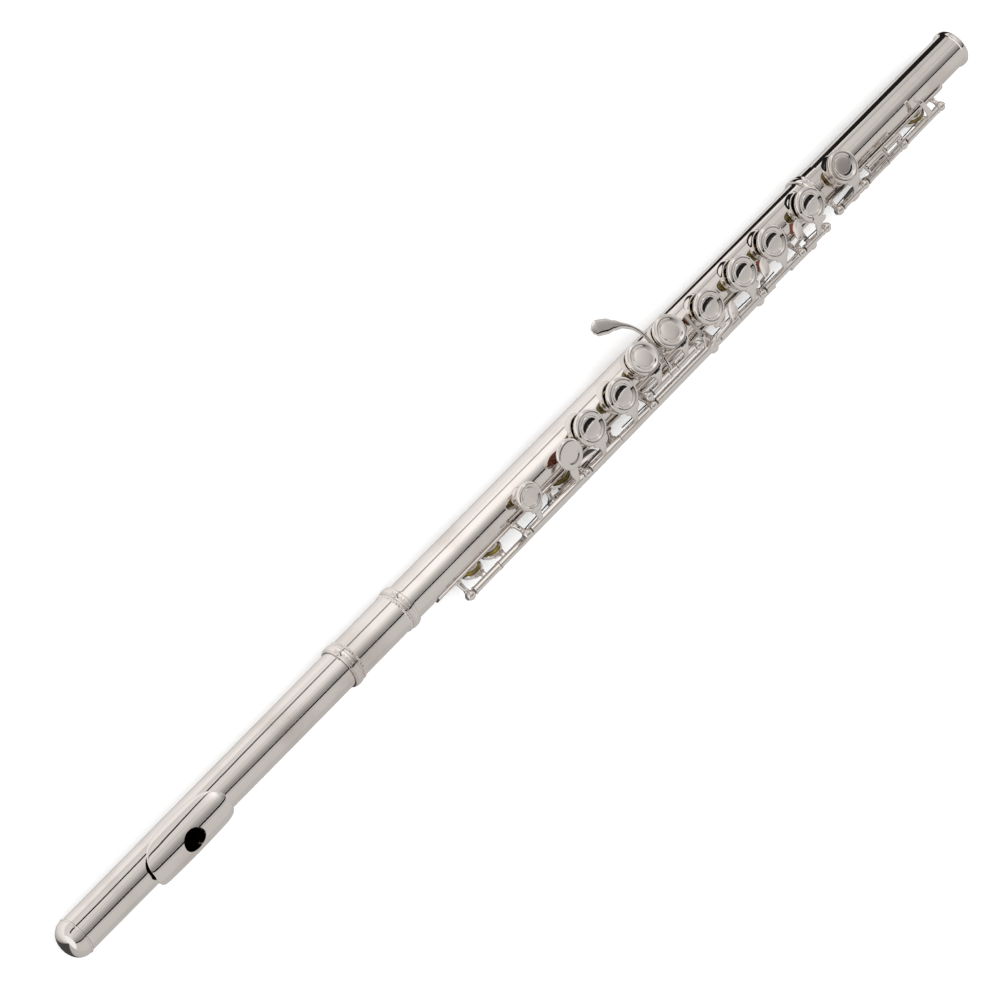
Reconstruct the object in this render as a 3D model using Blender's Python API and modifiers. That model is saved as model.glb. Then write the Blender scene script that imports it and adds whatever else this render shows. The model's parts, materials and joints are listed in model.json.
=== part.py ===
"""Concert flute: head joint, body and C foot joint with their keywork.

The tube lies along X, crown at the low end. Key cups face +Z, the rods stand on the -Y side, where the
player is. Sizes are in millimetres and stations are measured along X from the crown's tip. Round the tube
a place is an angle from +Z towards the rods. Every key is drawn shut and its parent empty then opens it.
"""
import math

import bmesh
import bpy
from mathutils import Matrix, Vector

MM = 0.001

# ---- the three tubes -------------------------------------------------------------------------------------
LENGTH = 670.0            # crown's tip to the foot's end
TUBE_R = 9.9              # body and foot, outside
BORE_R = 9.5              # body and foot, inside
HEAD_WALL = 0.4
CROWN_END_R = 9.4         # head tube outside, at the crown
TENON_R = 9.85            # head tube outside, where it slides into the barrel
FIT = 0.15                # between one tube and the tube it slides in
GAP = 0.3                 # between solids that touch in use
CROWN_LENGTH = 9.0
HEAD_TUBE_END = 216.0     # how far the head tube reaches inside the barrel
BARREL_START, BARREL_END = 183.0, 228.0
BARREL_R = 10.45
BARREL_RING_R = 11.45
BARREL_RING_WIDTH = 4.6
BARREL_STEP = 218.0       # the body tube starts here, inside the barrel
FOOT_START = 539.0        # the foot's socket opens here
SOCKET_LENGTH = 15.0
SOCKET_WALL = 0.45
BODY_TENON_R = 9.6
BODY_TENON_BORE_R = 9.25
FOOT_RING_R = 11.3
END_RING_R = 10.85
END_RING_WIDTH = 3.0
TUBE_SIDES = 28

# ---- the head joint --------------------------------------------------------------------------------------
MOUTH_X = 73.5            # middle of the embouchure hole
MOUTH_ANGLE = 21.0        # turned towards the player
MOUTH_LENGTH, MOUTH_WIDTH = 12.2, 10.4
RISER_TOP_R = 13.4        # lip plate's underside, above the hole
PLATE_LENGTH, PLATE_ARC = 49.0, 150.0
PLATE_R, PLATE_THICK = 14.2, 1.1
PLATE_DROP = 3.0          # how far the plate's curve closes in on the tube at its edges
STOPPER_TO_MOUTH = 17.3
CORK_LENGTH = 17.0
STOPPER_PLATE = 1.5
SCREW_R = 1.9
CROWN_R = 9.95
CROWN_PLUG = 9.0

# ---- tone holes ------------------------------------------------------------------------------------------
RIM_R = 12.2              # tone hole rims, from the tube's middle
CHIMNEY_WALL = 0.7
PAD_THICK = 2.1
PAD_MARGIN = 0.5          # pad beyond the chimney's wall
CUP_WALL = 0.5
CUP_TOP = 1.3
CHIMNEY_SIDES = 16
CUP_SIDES = 18

# ---- rods and posts --------------------------------------------------------------------------------------
ROD_R = 1.0
SLEEVE_R = 2.1
SLEEVE_BORE_R = 1.3
BALL_R = 2.6
POST_R = 1.35
RIB_THICK = 0.9
RIB_CLEAR = 0.15
SLEEVE_SIDES = 10
END_PLAY = 0.3

MAIN = (-16.8, 9.5)       # Y and Z of each hinge line
G_LINE = (-11.4, 12.2)
TRILL = (-19.2, 2.8)
THUMB = (-17.6, -2.9)
FOOT = (-16.0, 6.5)

MAIN_POSTS = (296.0, 340.8, 391.8, 442.2, 479.7, 512.6, 533.3)
G_POSTS = (391.8, 431.4)
TRILL_POSTS = (256.0, 524.6)
TRILL_SADDLES = (442.2, 479.7)
THUMB_POSTS = (323.0, 369.0)
FOOT_POSTS = (548.0, 569.5, 603.1, 636.3)
RIB_START, RIB_END = 241.5, 536.6
FOOT_RIB_START, FOOT_RIB_END = 545.2, 646.0
RIB_ANGLES = (58.0, 88.0)

# ---- keys: station, angle round the tube, tone hole radius, cup radius, hinge line, opening in degrees ----
LARGE_HOLE, LARGE_CUP = 7.0, 9.0
G_CUP = 8.9
SMALL_HOLE, SMALL_CUP = 3.8, 7.3
TRILL_HOLE, TRILL_CUP = 3.8, 6.0
THUMB_HOLE, THUMB_CUP = 6.4, 8.4
LOW_HOLE, LOW_CUP = 6.6, 8.6
G_ANGLE = -19.0
BACK_ANGLE = 150.0
THUMB_ANGLE = 140.0
TRILL_ANGLE = 118.0
LOW_ANGLE = 135.0
LIFT = 8.5

HOLES = {
    "c_sharp": (306.0, 10.0, SMALL_HOLE, SMALL_CUP),
    "b_flat": (354.0, 0.0, LARGE_HOLE, LARGE_CUP),
    "a": (378.4, 0.0, LARGE_HOLE, LARGE_CUP),
    "upper_g": (400.6, G_ANGLE, LARGE_HOLE, G_CUP),
    "lower_g": (421.6, G_ANGLE, LARGE_HOLE, G_CUP),
    "f_sharp": (446.9, 0.0, LARGE_HOLE, LARGE_CUP),
    "f": (474.0, 0.0, LARGE_HOLE, LARGE_CUP),
    "e": (498.4, 0.0, LARGE_HOLE, LARGE_CUP),
    "d": (529.6, 0.0, LARGE_HOLE, LARGE_CUP),
    "thumb_b": (338.0, THUMB_ANGLE, THUMB_HOLE, THUMB_CUP),
    "g_sharp": (421.6, BACK_ANGLE, LARGE_HOLE, LARGE_CUP),
    "d_trill": (283.4, TRILL_ANGLE, TRILL_HOLE, TRILL_CUP),
    "d_sharp_trill": (269.0, TRILL_ANGLE, TRILL_HOLE, TRILL_CUP),
    "foot_d_sharp": (560.6, 0.0, LARGE_HOLE, LARGE_CUP),
    "foot_c_sharp": (596.0, LOW_ANGLE, LOW_HOLE, LOW_CUP),
    "foot_c": (629.0, LOW_ANGLE, LOW_HOLE, LOW_CUP),
}
FOOT_HOLES = ("foot_d_sharp", "foot_c_sharp", "foot_c")

# ---- key levers ------------------------------------------------------------------------------------------
ARM_THICK = 1.5
ARM_ROOT_WIDTH, ARM_TIP_WIDTH = 5.6, 9.0
INDEX_TOUCH = (336.5, 8.0, 7.8)       # station, angle and radius of the first finger's touch
INDEX_TOUCH_THICK = 2.4
TOUCH_Z = 17.6                        # height of the small oval touches
OVAL_LENGTH, OVAL_WIDTH, OVAL_THICK = 10.6, 5.2, 1.6
OVAL_TURN = 50.0
BB_OVAL = (455.6, -10.8)
D_OVAL = (485.3, -6.8)
DS_OVAL = (514.2, -5.6)
LEVER_WIDTH, LEVER_THICK = 1.9, 1.7
G_LEVER_X = 411.1
SPATULA_R = 5.2
ROLLER_R, ROLLER_PIN_R = 1.55, 0.6
ROLLER_Y, ROLLER_Z = -10.2, 10.4
C_SHARP_ROLLER = (574.5, 586.9)
C_ROLLER = (590.0, 601.6)
ROLLER_EAR = 1.1

MATERIALS = {
    "silver plate": ((0.80, 0.78, 0.76, 1.0), 0.12, 1.0),
    "steel": ((0.55, 0.55, 0.56, 1.0), 0.25, 1.0),
    "pad skin": ((0.62, 0.52, 0.24, 1.0), 0.6, 0.0),
    "cork": ((0.45, 0.24, 0.13, 1.0), 0.85, 0.0),
}


# ---- shapes ----------------------------------------------------------------------------------------------
def link(obj, collection):
    """Put an object in one collection."""
    collection.objects.link(obj)
    return obj


def baked(obj):
    """The object as it evaluates, as a plain welded mesh object in world space."""
    bpy.context.view_layer.update()
    evaluated = obj.evaluated_get(bpy.context.evaluated_depsgraph_get())
    mesh = bpy.data.meshes.new_from_object(evaluated)
    mesh.transform(obj.matrix_world)
    bm = bmesh.new()
    bm.from_mesh(mesh)
    bmesh.ops.remove_doubles(bm, verts=bm.verts, dist=1e-6)
    bmesh.ops.recalc_face_normals(bm, faces=bm.faces)
    bm.to_mesh(mesh)
    bm.free()
    result = link(bpy.data.objects.new(obj.name, mesh), SHAPES)
    bpy.data.objects.remove(obj)
    return result


def turned(profile, place, sides=CUP_SIDES):
    """A profile of (radius, height) points, turned about the local Z of `place`."""
    mesh = bpy.data.meshes.new("turned")
    points = [(radius * MM, 0.0, height * MM) for radius, height in profile]
    closed = profile[0][0] > 0.0
    edges = [(i, i + 1) for i in range(len(points) - 1)]
    if closed:
        edges.append((len(points) - 1, 0))
    mesh.from_pydata(points, edges, [])
    obj = link(bpy.data.objects.new("turned", mesh), SHAPES)
    screw = obj.modifiers.new("turn", "SCREW")
    screw.steps = sides
    screw.render_steps = sides
    screw.use_merge_vertices = True
    screw.merge_threshold = 1e-6
    screw.use_normal_calculate = True
    obj.matrix_world = place
    return baked(obj)


def ring(inner, outer, low, high, place, sides=CUP_SIDES):
    """A plain tube about the local Z of `place`."""
    profile = [(outer, high), (outer, low), (inner, low), (inner, high)]
    return turned(profile, place, sides)


def rod(radius, start, end, sides=SLEEVE_SIDES):
    """A round bar between two points in millimetres."""
    a, b = Vector(start), Vector(end)
    bm = bmesh.new()
    bmesh.ops.create_cone(bm, cap_ends=True, segments=sides, radius1=radius * MM, radius2=radius * MM,
                          depth=(b - a).length * MM)
    mesh = bpy.data.meshes.new("rod")
    bm.to_mesh(mesh)
    bm.free()
    obj = link(bpy.data.objects.new("rod", mesh), SHAPES)
    turn = (b - a).to_track_quat("Z", "Y").to_matrix().to_4x4()
    obj.matrix_world = Matrix.Translation((a + b) / 2 * MM) @ turn
    return baked(obj)


def ball(radius, centre):
    """A round post head."""
    bm = bmesh.new()
    bmesh.ops.create_uvsphere(bm, u_segments=8, v_segments=6, radius=radius * MM)
    mesh = bpy.data.meshes.new("ball")
    bm.to_mesh(mesh)
    bm.free()
    obj = link(bpy.data.objects.new("ball", mesh), SHAPES)
    obj.matrix_world = Matrix.Translation(Vector(centre) * MM)
    return baked(obj)


def oval(length, width, thickness, place, sides=24):
    """A flat oval plate, its length along the local X of `place`."""
    bm = bmesh.new()
    bmesh.ops.create_cone(bm, cap_ends=True, segments=sides, radius1=0.5, radius2=0.5, depth=1.0)
    mesh = bpy.data.meshes.new("oval")
    bmesh.ops.scale(bm, vec=(length * MM, width * MM, thickness * MM), verts=bm.verts)
    bm.to_mesh(mesh)
    bm.free()
    obj = link(bpy.data.objects.new("oval", mesh), SHAPES)
    obj.matrix_world = place
    return baked(obj)


def strap(path, across, widths, thickness):
    """A flat bar lofted along a path: `across` is its width's direction, `widths` one value a point."""
    points = [Vector(p) for p in path]
    side = Vector(across).normalized()
    bm = bmesh.new()
    rings = []
    for i, point in enumerate(points):
        before, after = points[max(i - 1, 0)], points[min(i + 1, len(points) - 1)]
        along = (after - before).normalized()
        wide = (side - along * side.dot(along)).normalized()
        up = along.cross(wide).normalized()
        w, h = wide * widths[i] / 2, up * thickness / 2
        rings.append([bm.verts.new((point + corner) * MM) for corner in (w + h, w - h, -w - h, -w + h)])
    for one, two in zip(rings, rings[1:]):
        for k in range(4):
            bm.faces.new((one[k], one[(k + 1) % 4], two[(k + 1) % 4], two[k]))
    bm.faces.new(rings[0])
    bm.faces.new(rings[-1])
    bmesh.ops.recalc_face_normals(bm, faces=bm.faces)
    mesh = bpy.data.meshes.new("strap")
    bm.to_mesh(mesh)
    bm.free()
    return baked(link(bpy.data.objects.new("strap", mesh), SHAPES))


def band(inner, outer, angles, start, end, steps=6):
    """A strip lying along the tube: an arc-shaped outline drawn in two dimensions and extruded along X."""
    low, high = angles
    sweep = [math.radians(low + (high - low) * i / steps) for i in range(steps + 1)]
    outline = [(radius * math.sin(a), radius * math.cos(a)) for radius, order in ((outer, sweep),
               (inner, sweep[::-1])) for a in order]
    curve = bpy.data.curves.new("band", "CURVE")
    curve.dimensions = "2D"
    curve.fill_mode = "BOTH"
    curve.extrude = (end - start) / 2 * MM
    spline = curve.splines.new("POLY")
    spline.points.add(len(outline) - 1)
    for point, (y, z) in zip(spline.points, outline):
        point.co = (y * MM, z * MM, 0.0, 1.0)
    spline.use_cyclic_u = True
    obj = link(bpy.data.objects.new("band", curve), SHAPES)
    turn = Matrix(((0, 0, 1, 0), (-1, 0, 0, 0), (0, 1, 0, 0), (0, 0, 0, 1)))
    obj.matrix_world = Matrix.Translation(((start + end) / 2 * MM, 0, 0)) @ turn
    return baked(obj)


# ---- places ----------------------------------------------------------------------------------------------
def round_tube(angle, radius, x=0.0):
    """A point on a circle round the tube, the angle counted from +Z towards the rods."""
    a = math.radians(angle)
    return Vector((x, -math.sin(a) * radius, math.cos(a) * radius))


def along_tube(x=0.0):
    """A frame whose local Z runs along the tube from station x."""
    return Matrix.Translation((x * MM, 0, 0)) @ Matrix.Rotation(math.radians(90), 4, "Y")


def facing_out(x, angle, radius=0.0):
    """A frame standing on the tube: local Z points out at `angle`, local X runs along the tube."""
    return (Matrix.Translation((x * MM, 0, 0)) @ Matrix.Rotation(math.radians(angle), 4, "X")
            @ Matrix.Translation((0, 0, radius * MM)))


def flat(x, y, z, turn=0.0, tip=0.0):
    """A level frame, turned about Z and then tipped about the tube's direction."""
    return (Matrix.Translation((x * MM, y * MM, z * MM)) @ Matrix.Rotation(math.radians(tip), 4, "X")
            @ Matrix.Rotation(math.radians(turn), 4, "Z"))


def on_line(line, x):
    """A point on a hinge line."""
    return Vector((x, line[0], line[1]))


# ---- putting pieces together -----------------------------------------------------------------------------
def finished(name, shapes, cuts=(), material="silver plate", parent=None, origin=(0, 0, 0)):
    """Join the shapes, cut them, and leave one named part whose own origin is `origin` in millimetres."""
    part = shapes[0]
    steps = [("UNION", shape) for shape in shapes[1:]] + [("DIFFERENCE", cut) for cut in cuts]
    for operation, tool in steps:
        joint = part.modifiers.new("join", "BOOLEAN")
        joint.operation = operation
        joint.object = tool
        part = baked(part)
        bpy.data.objects.remove(tool)
    SHAPES.objects.unlink(part)
    FLUTE.objects.link(part)
    part.name = name
    part.data.name = name
    part.data.transform(Matrix.Translation(-Vector(origin) * MM))
    if len(part.data.polygons) > 0:
        part.data.shade_smooth()
        part.data.set_sharp_from_angle(angle=math.radians(35))
    part.data.materials.clear()
    part.data.materials.append(MATERIAL[material])
    part.parent = parent if parent is not None else ROOT
    if parent is None:
        part.location = Vector(origin) * MM
    return part


def hinge(name, line, x, opening):
    """An empty on a hinge line that holds a key open by `opening` degrees."""
    empty = bpy.data.objects.new(name + "_hinge", None)
    FLUTE.objects.link(empty)
    empty.parent = ROOT
    empty.location = on_line(line, x) * MM
    empty.rotation_euler = (math.radians(opening), 0, 0)
    return empty


def pad_radius(hole):
    """A pad reaches past its chimney's wall."""
    return hole + CHIMNEY_WALL + PAD_MARGIN


def cup(x, angle, cup_r):
    """A key cup, drawn shut over its hole."""
    seat = RIM_R + GAP + PAD_THICK + GAP
    profile = [(0.0, seat + CUP_TOP), (cup_r * 0.55, seat + CUP_TOP), (cup_r - 0.9, seat + CUP_TOP - 0.1),
               (cup_r, seat + CUP_TOP - 0.8), (cup_r, seat - 1.5), (0.0, seat - 1.5)]
    return turned(profile, facing_out(x, angle))


def pad_pocket(x, angle, pad_r):
    """What the pad needs clear inside its cup, down to the tube."""
    seat = RIM_R + GAP + PAD_THICK + GAP
    profile = [(0.0, seat), (pad_r + GAP, seat), (pad_r + GAP, TUBE_R), (0.0, TUBE_R)]
    return turned(profile, facing_out(x, angle))


def pad(name, parent, line, x_hinge):
    """A pad in its cup: a felt disc under a skin."""
    x, angle, hole, _ = HOLES[name]
    face = RIM_R + GAP
    radius = pad_radius(hole)
    profile = [(0.0, face + PAD_THICK), (radius, face + PAD_THICK), (radius, face + 0.4),
               (radius - 0.4, face), (0.0, face)]
    disc = turned(profile, facing_out(x, angle), 18)
    return finished(name + "_pad", [disc], material="pad skin", parent=parent, origin=on_line(line, x_hinge))


def sleeve(line, start, end):
    """A hinge tube, still solid."""
    return rod(SLEEVE_R, on_line(line, start), on_line(line, end))


def rod_hole(line, start, end, radius=SLEEVE_BORE_R):
    """The cutter that opens hinge tubes and posts for their rod."""
    return rod(radius, on_line(line, start - 2), on_line(line, end + 2))


def cup_arm(line, x, angle, cup_r, root_x=None, lean=0.5):
    """The arm from a hinge line up on to a cup's rim."""
    root_x = x if root_x is None else root_x
    seat = RIM_R + GAP + PAD_THICK + GAP
    top = Vector(on_line(line, root_x))
    rim = facing_out(x, angle, seat + CUP_TOP * 0.3)
    towards = math.copysign(1.0, angle - math.degrees(math.atan2(-line[0], line[1])))
    tip = (rim @ Vector((0, towards * cup_r * 0.72 * MM, 0))) / MM
    knee = (rim @ Vector((0, towards * (cup_r + 1.6) * MM, -0.5 * MM))) / MM
    knee.x = x + (root_x - x) * lean
    return strap([top, knee, tip], (1, 0, 0), [ARM_ROOT_WIDTH, ARM_ROOT_WIDTH, ARM_TIP_WIDTH], ARM_THICK)


def post(line, x, foot_angle, ball_r=BALL_R, foot_radius=TUBE_R + RIB_CLEAR + 0.75):
    """A post's column and ball."""
    foot = round_tube(foot_angle, foot_radius, x)
    head = on_line(line, x)
    return [rod(POST_R, foot, head, 8), ball(ball_r, head)]


# ---- the head joint --------------------------------------------------------------------------------------
def mouth_hole(low, high, grow=0.0):
    """The embouchure's oval, as a solid from radius low to high."""
    place = facing_out(MOUTH_X, MOUTH_ANGLE, (low + high) / 2)
    return oval(MOUTH_LENGTH + 2 * grow, MOUTH_WIDTH + 2 * grow, high - low, place, 32)


def head_tube():
    """The head's tapered tube, open at both ends, with the embouchure cut through."""
    inner, start = HEAD_WALL, CROWN_LENGTH + GAP
    profile = [(TENON_R, HEAD_TUBE_END), (TENON_R, BARREL_START - 8), (CROWN_END_R, start),
               (CROWN_END_R - inner, start), (TENON_R - inner, BARREL_START - 8),
               (TENON_R - inner, HEAD_TUBE_END)]
    tube = turned(profile, along_tube(), TUBE_SIDES)
    return finished("head_tube", [tube], [mouth_hole(4.0, 16.0, 1.2 + GAP)])


def riser():
    """The short chimney between the tube and the lip plate."""
    wall = mouth_hole(TUBE_R - 1.0, RISER_TOP_R + 1.0, 1.2)
    above = ring(RISER_TOP_R - 1.2, RISER_TOP_R + 6, MOUTH_X - 12, MOUTH_X + 12, along_tube(), 48)
    return finished("embouchure_riser", [wall], [above, mouth_hole(4.0, 18.0)])


def lip_plate():
    """The curved plate that the lip rests on, with the embouchure's edge."""
    half, steps, rows = PLATE_LENGTH / 2, 12, 8
    bm = bmesh.new()
    grid = []
    for i in range(rows + 1):
        across = -1.0 + 2.0 * i / rows
        reach = math.sqrt(max(1.0 - abs(across) ** 3.2, 0.0)) * 0.88 + 0.12
        line = []
        for j in range(steps + 1):
            turn = -1.0 + 2.0 * j / steps
            angle = MOUTH_ANGLE + turn * reach * PLATE_ARC / 2
            radius = PLATE_R - PLATE_DROP * (turn * reach) ** 2 - 0.9 * across ** 2
            line.append(bm.verts.new(round_tube(angle, radius, MOUTH_X + across * half) * MM))
        grid.append(line)
    for one, two in zip(grid, grid[1:]):
        for j in range(steps):
            bm.faces.new((one[j], two[j], two[j + 1], one[j + 1]))
    bmesh.ops.recalc_face_normals(bm, faces=bm.faces)
    mesh = bpy.data.meshes.new("lip_plate")
    bm.to_mesh(mesh)
    bm.free()
    if mesh.polygons[len(mesh.polygons) // 2].normal.z < 0:
        mesh.flip_normals()
    sheet = link(bpy.data.objects.new("lip_plate", mesh), SHAPES)
    thick = sheet.modifiers.new("wall", "SOLIDIFY")
    thick.thickness = PLATE_THICK * MM
    thick.offset = -1.0
    return finished("lip_plate", [baked(sheet)], [mouth_hole(4.0, 18.0)])


def crown():
    """The turned cap, its plug inside the tube, threaded for the stopper's screw."""
    plug = CROWN_END_R - HEAD_WALL - FIT
    end = CROWN_LENGTH + CROWN_PLUG
    profile = [(0.0, 0.0), (4.5, 0.25), (7.6, 1.2), (9.2, 2.9), (CROWN_R, 5.0), (CROWN_R, CROWN_LENGTH),
               (plug, CROWN_LENGTH), (plug, end), (0.0, end)][::-1]
    cap = turned(profile, along_tube(), TUBE_SIDES)
    bore = rod(SCREW_R + FIT, (4.0, 0, 0), (end + 1, 0, 0), 16)
    return finished("crown", [cap], [bore])


def stopper():
    """Screw, cork and its two plates, that close the tube beyond the embouchure."""
    face = MOUTH_X - STOPPER_TO_MOUTH
    cork_end = face - STOPPER_PLATE - GAP
    cork_start = cork_end - CORK_LENGTH
    tube_r = CROWN_END_R - HEAD_WALL
    seat = tube_r + (TENON_R - CROWN_END_R) * (cork_start - CROWN_LENGTH) / (BARREL_START - CROWN_LENGTH)
    screw = rod(SCREW_R, (7.0, 0, 0), (face - STOPPER_PLATE / 2, 0, 0), 16)
    disc = rod(seat - 0.5, (face - STOPPER_PLATE, 0, 0), (face, 0, 0), 32)
    finished("stopper_screw", [screw, disc], material="silver plate")
    nut_end = cork_start - GAP
    finished("stopper_nut", [ring(SCREW_R + FIT, seat - 0.5, nut_end - STOPPER_PLATE, nut_end, along_tube(), 32)])
    finished("stopper_cork", [ring(SCREW_R + FIT, seat - FIT, cork_start, cork_end, along_tube(), 32)],
             material="cork")


# ---- barrel, body and foot tubes -------------------------------------------------------------------------
def barrel():
    """The socket for the head joint, with a turned ring at each end."""
    inner, big, w = TUBE_R + FIT, BARREL_RING_R, BARREL_RING_WIDTH
    a, b = BARREL_START, BARREL_END
    profile = [(big - 0.7, b), (big, b - 0.8), (big, b - w + 0.8), (big - 0.7, b - w), (BARREL_R, b - w - 0.2),
               (BARREL_R, a + w + 3.6), (BARREL_R + 0.35, a + w + 3.4), (BARREL_R + 0.35, a + w + 0.4),
               (big - 0.7, a + w), (big, a + w - 0.8), (big, a + 0.8), (big - 0.7, a), (inner, a), (inner, b)]
    finished("barrel", [turned(profile, along_tube(), TUBE_SIDES)])


def with_chimneys(name, tube, names, bore):
    """A tube joined to its tone hole chimneys, then opened."""
    shapes, cuts = [tube], [bore]
    for hole_name in names:
        x, angle, hole, _ = HOLES[hole_name]
        frame = facing_out(x, angle)
        outer = [(0.0, RIM_R), (hole + CHIMNEY_WALL, RIM_R), (hole + CHIMNEY_WALL, 4.0), (0.0, 4.0)]
        inner = [(0.0, RIM_R + 2), (hole, RIM_R + 2), (hole, 3.0), (0.0, 3.0)]
        shapes.append(turned(outer, frame, CHIMNEY_SIDES))
        cuts.append(turned(inner, frame, CHIMNEY_SIDES))
    return finished(name, shapes, cuts)


def body_tube():
    """The body's tube, its tenon at the foot end and its tone holes."""
    end = FOOT_START + SOCKET_LENGTH - GAP
    shoulder = FOOT_START - GAP
    profile = [(0.0, end), (BODY_TENON_R, end), (BODY_TENON_R, shoulder), (TUBE_R, shoulder),
               (TUBE_R, BARREL_STEP), (0.0, BARREL_STEP)]
    tube = turned(profile, along_tube(), TUBE_SIDES)
    bore = turned([(0.0, end + 1), (BODY_TENON_BORE_R, end + 1), (BODY_TENON_BORE_R, shoulder),
                   (BORE_R, shoulder), (BORE_R, BARREL_STEP - 1), (0.0, BARREL_STEP - 1)],
                  along_tube(), TUBE_SIDES)
    names = [name for name in HOLES if name not in FOOT_HOLES]
    with_chimneys("body_tube", tube, names, bore)


def foot_tube():
    """The foot's tube: socket with its rings, three tone holes and the end ring."""
    start, socket_end = FOOT_START, FOOT_START + SOCKET_LENGTH
    socket_bore = BODY_TENON_R + FIT
    socket_r = socket_bore + SOCKET_WALL
    profile = [(0.0, LENGTH), (END_RING_R - 0.6, LENGTH), (END_RING_R, LENGTH - 0.8),
               (END_RING_R, LENGTH - END_RING_WIDTH + 0.8), (END_RING_R - 0.6, LENGTH - END_RING_WIDTH),
               (TUBE_R, LENGTH - END_RING_WIDTH), (TUBE_R, socket_end), (socket_r, socket_end - 1),
               (socket_r, start + 6.0), (socket_r + 0.6, start + 5.6), (socket_r + 0.6, start + 4.4),
               (socket_r, start + 4.0), (FOOT_RING_R - 0.5, start + 3.4), (FOOT_RING_R, start + 2.7),
               (FOOT_RING_R, start + 0.7), (FOOT_RING_R - 0.5, start), (0.0, start)]
    tube = turned(profile, along_tube(), TUBE_SIDES)
    bore = turned([(0.0, LENGTH + 1), (BORE_R, LENGTH + 1), (BORE_R, socket_end), (socket_bore, socket_end),
                   (socket_bore, start - 1), (0.0, start - 1)], along_tube(), TUBE_SIDES)
    with_chimneys("foot_tube", tube, FOOT_HOLES, bore)


# ---- ribs, posts and rods --------------------------------------------------------------------------------
def rib(name, start, end, lines, cutters, inner=TUBE_R + RIB_CLEAR):
    """A strap along the tube with its posts; `lines` holds (line, stations, foot angle, ball radius)."""
    shapes = [band(inner, inner + RIB_THICK, RIB_ANGLES, start, end)]
    for line, stations, foot_angle, ball_r in lines:
        for x in stations:
            shapes.extend(post(line, x, foot_angle, ball_r))
    return finished(name, shapes, cutters)


def frames():
    """The three sets of posts."""
    main_cuts = [rod_hole(MAIN, MAIN_POSTS[0] - 4, MAIN_POSTS[-1] + 4),
                 rod_hole(G_LINE, G_POSTS[0] - 4, G_POSTS[-1] + 4),
                 rod_hole(TRILL, TRILL_POSTS[0] - 4, TRILL_POSTS[0] + 4),
                 rod_hole(TRILL, TRILL_POSTS[1] - 4, TRILL_POSTS[1] + 4),
                 rod_hole(TRILL, TRILL_SADDLES[0] - 8, TRILL_SADDLES[-1] + 8, SLEEVE_R + GAP),
                 rod_hole(THUMB, THUMB_POSTS[0] - 4, THUMB_POSTS[-1] + 4)]
    rib("main_rib", RIB_START, RIB_END,
        [(MAIN, MAIN_POSTS, 66.0, BALL_R), (G_LINE, G_POSTS, 60.5, BALL_R),
         (TRILL, TRILL_POSTS, 82.0, BALL_R), (TRILL, TRILL_SADDLES, 84.0, BALL_R + 1.3),
         (THUMB, THUMB_POSTS, 85.0, BALL_R)], main_cuts)
    rib("foot_rib", FOOT_RIB_START, FOOT_RIB_END, [(FOOT, FOOT_POSTS, 68.0, BALL_R)],
        [rod_hole(FOOT, FOOT_POSTS[0] - 4, FOOT_POSTS[-1] + 4)],
        BODY_TENON_R + FIT + SOCKET_WALL + RIB_CLEAR)
    finished("main_rod", [rod(ROD_R, on_line(MAIN, MAIN_POSTS[0] - 2), on_line(MAIN, MAIN_POSTS[-1] + 2))],
             material="steel")
    finished("thumb_rod", [rod(ROD_R, on_line(THUMB, THUMB_POSTS[0] - 2), on_line(THUMB, THUMB_POSTS[1] + 2))],
             material="steel")
    finished("foot_d_sharp_rod",
             [rod(ROD_R, on_line(FOOT, FOOT_POSTS[0] - 2), on_line(FOOT, FOOT_POSTS[1] - 0.2))],
             material="steel")


# ---- keys ------------------------------------------------------------------------------------------------
def simple_key(name, line, start, end, opening, extra=(), cuts=(), arm_x=None):
    """A key with one cup: hinge tube, arm, cup and whatever else is given."""
    x, angle, hole, cup_r = HOLES[name]
    holder = hinge(name, line, x, opening)
    shapes = [sleeve(line, start, end), cup_arm(line, x, angle, cup_r, arm_x), cup(x, angle, cup_r), *extra]
    cutters = [rod_hole(line, start, end), pad_pocket(x, angle, pad_radius(hole)), *cuts]
    finished(name + "_key", shapes, cutters, parent=holder, origin=on_line(line, x))
    pad(name, holder, line, x)
    return holder


def left_hand_keys():
    """C sharp with the first finger's touch, B flat and A."""
    posts = MAIN_POSTS
    play = BALL_R + END_PLAY
    touch_x, touch_angle, touch_r = INDEX_TOUCH
    seat = RIM_R + GAP + PAD_THICK + GAP
    profile = [(0.0, seat + CUP_TOP), (touch_r * 0.62, seat + CUP_TOP), (touch_r, seat + CUP_TOP - 0.7),
               (touch_r, seat + CUP_TOP - INDEX_TOUCH_THICK), (0.0, seat + CUP_TOP - INDEX_TOUCH_THICK)]
    touch = turned(profile, facing_out(touch_x, touch_angle, 0.0))
    level = facing_out(touch_x, touch_angle, seat + CUP_TOP - INDEX_TOUCH_THICK / 2)
    arm_x = touch_x - 3.0
    knee = (level @ Vector((-3.0 * MM, -(touch_r + 1.0) * MM, -0.4 * MM))) / MM
    tip = (level @ Vector((-2.0 * MM, -touch_r * 0.5 * MM, 0))) / MM
    touch_arm = strap([on_line(MAIN, arm_x), knee, tip], (1, 0, 0), [4.6, 4.8, 6.5], ARM_THICK)
    simple_key("c_sharp", MAIN, posts[0] + play, posts[1] - play, LIFT, [touch, touch_arm])
    middle = (HOLES["b_flat"][0] + HOLES["a"][0]) / 2
    simple_key("b_flat", MAIN, posts[1] + play, middle - END_PLAY / 2, LIFT)
    simple_key("a", MAIN, middle + END_PLAY / 2, posts[2] - play, LIFT)


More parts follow.
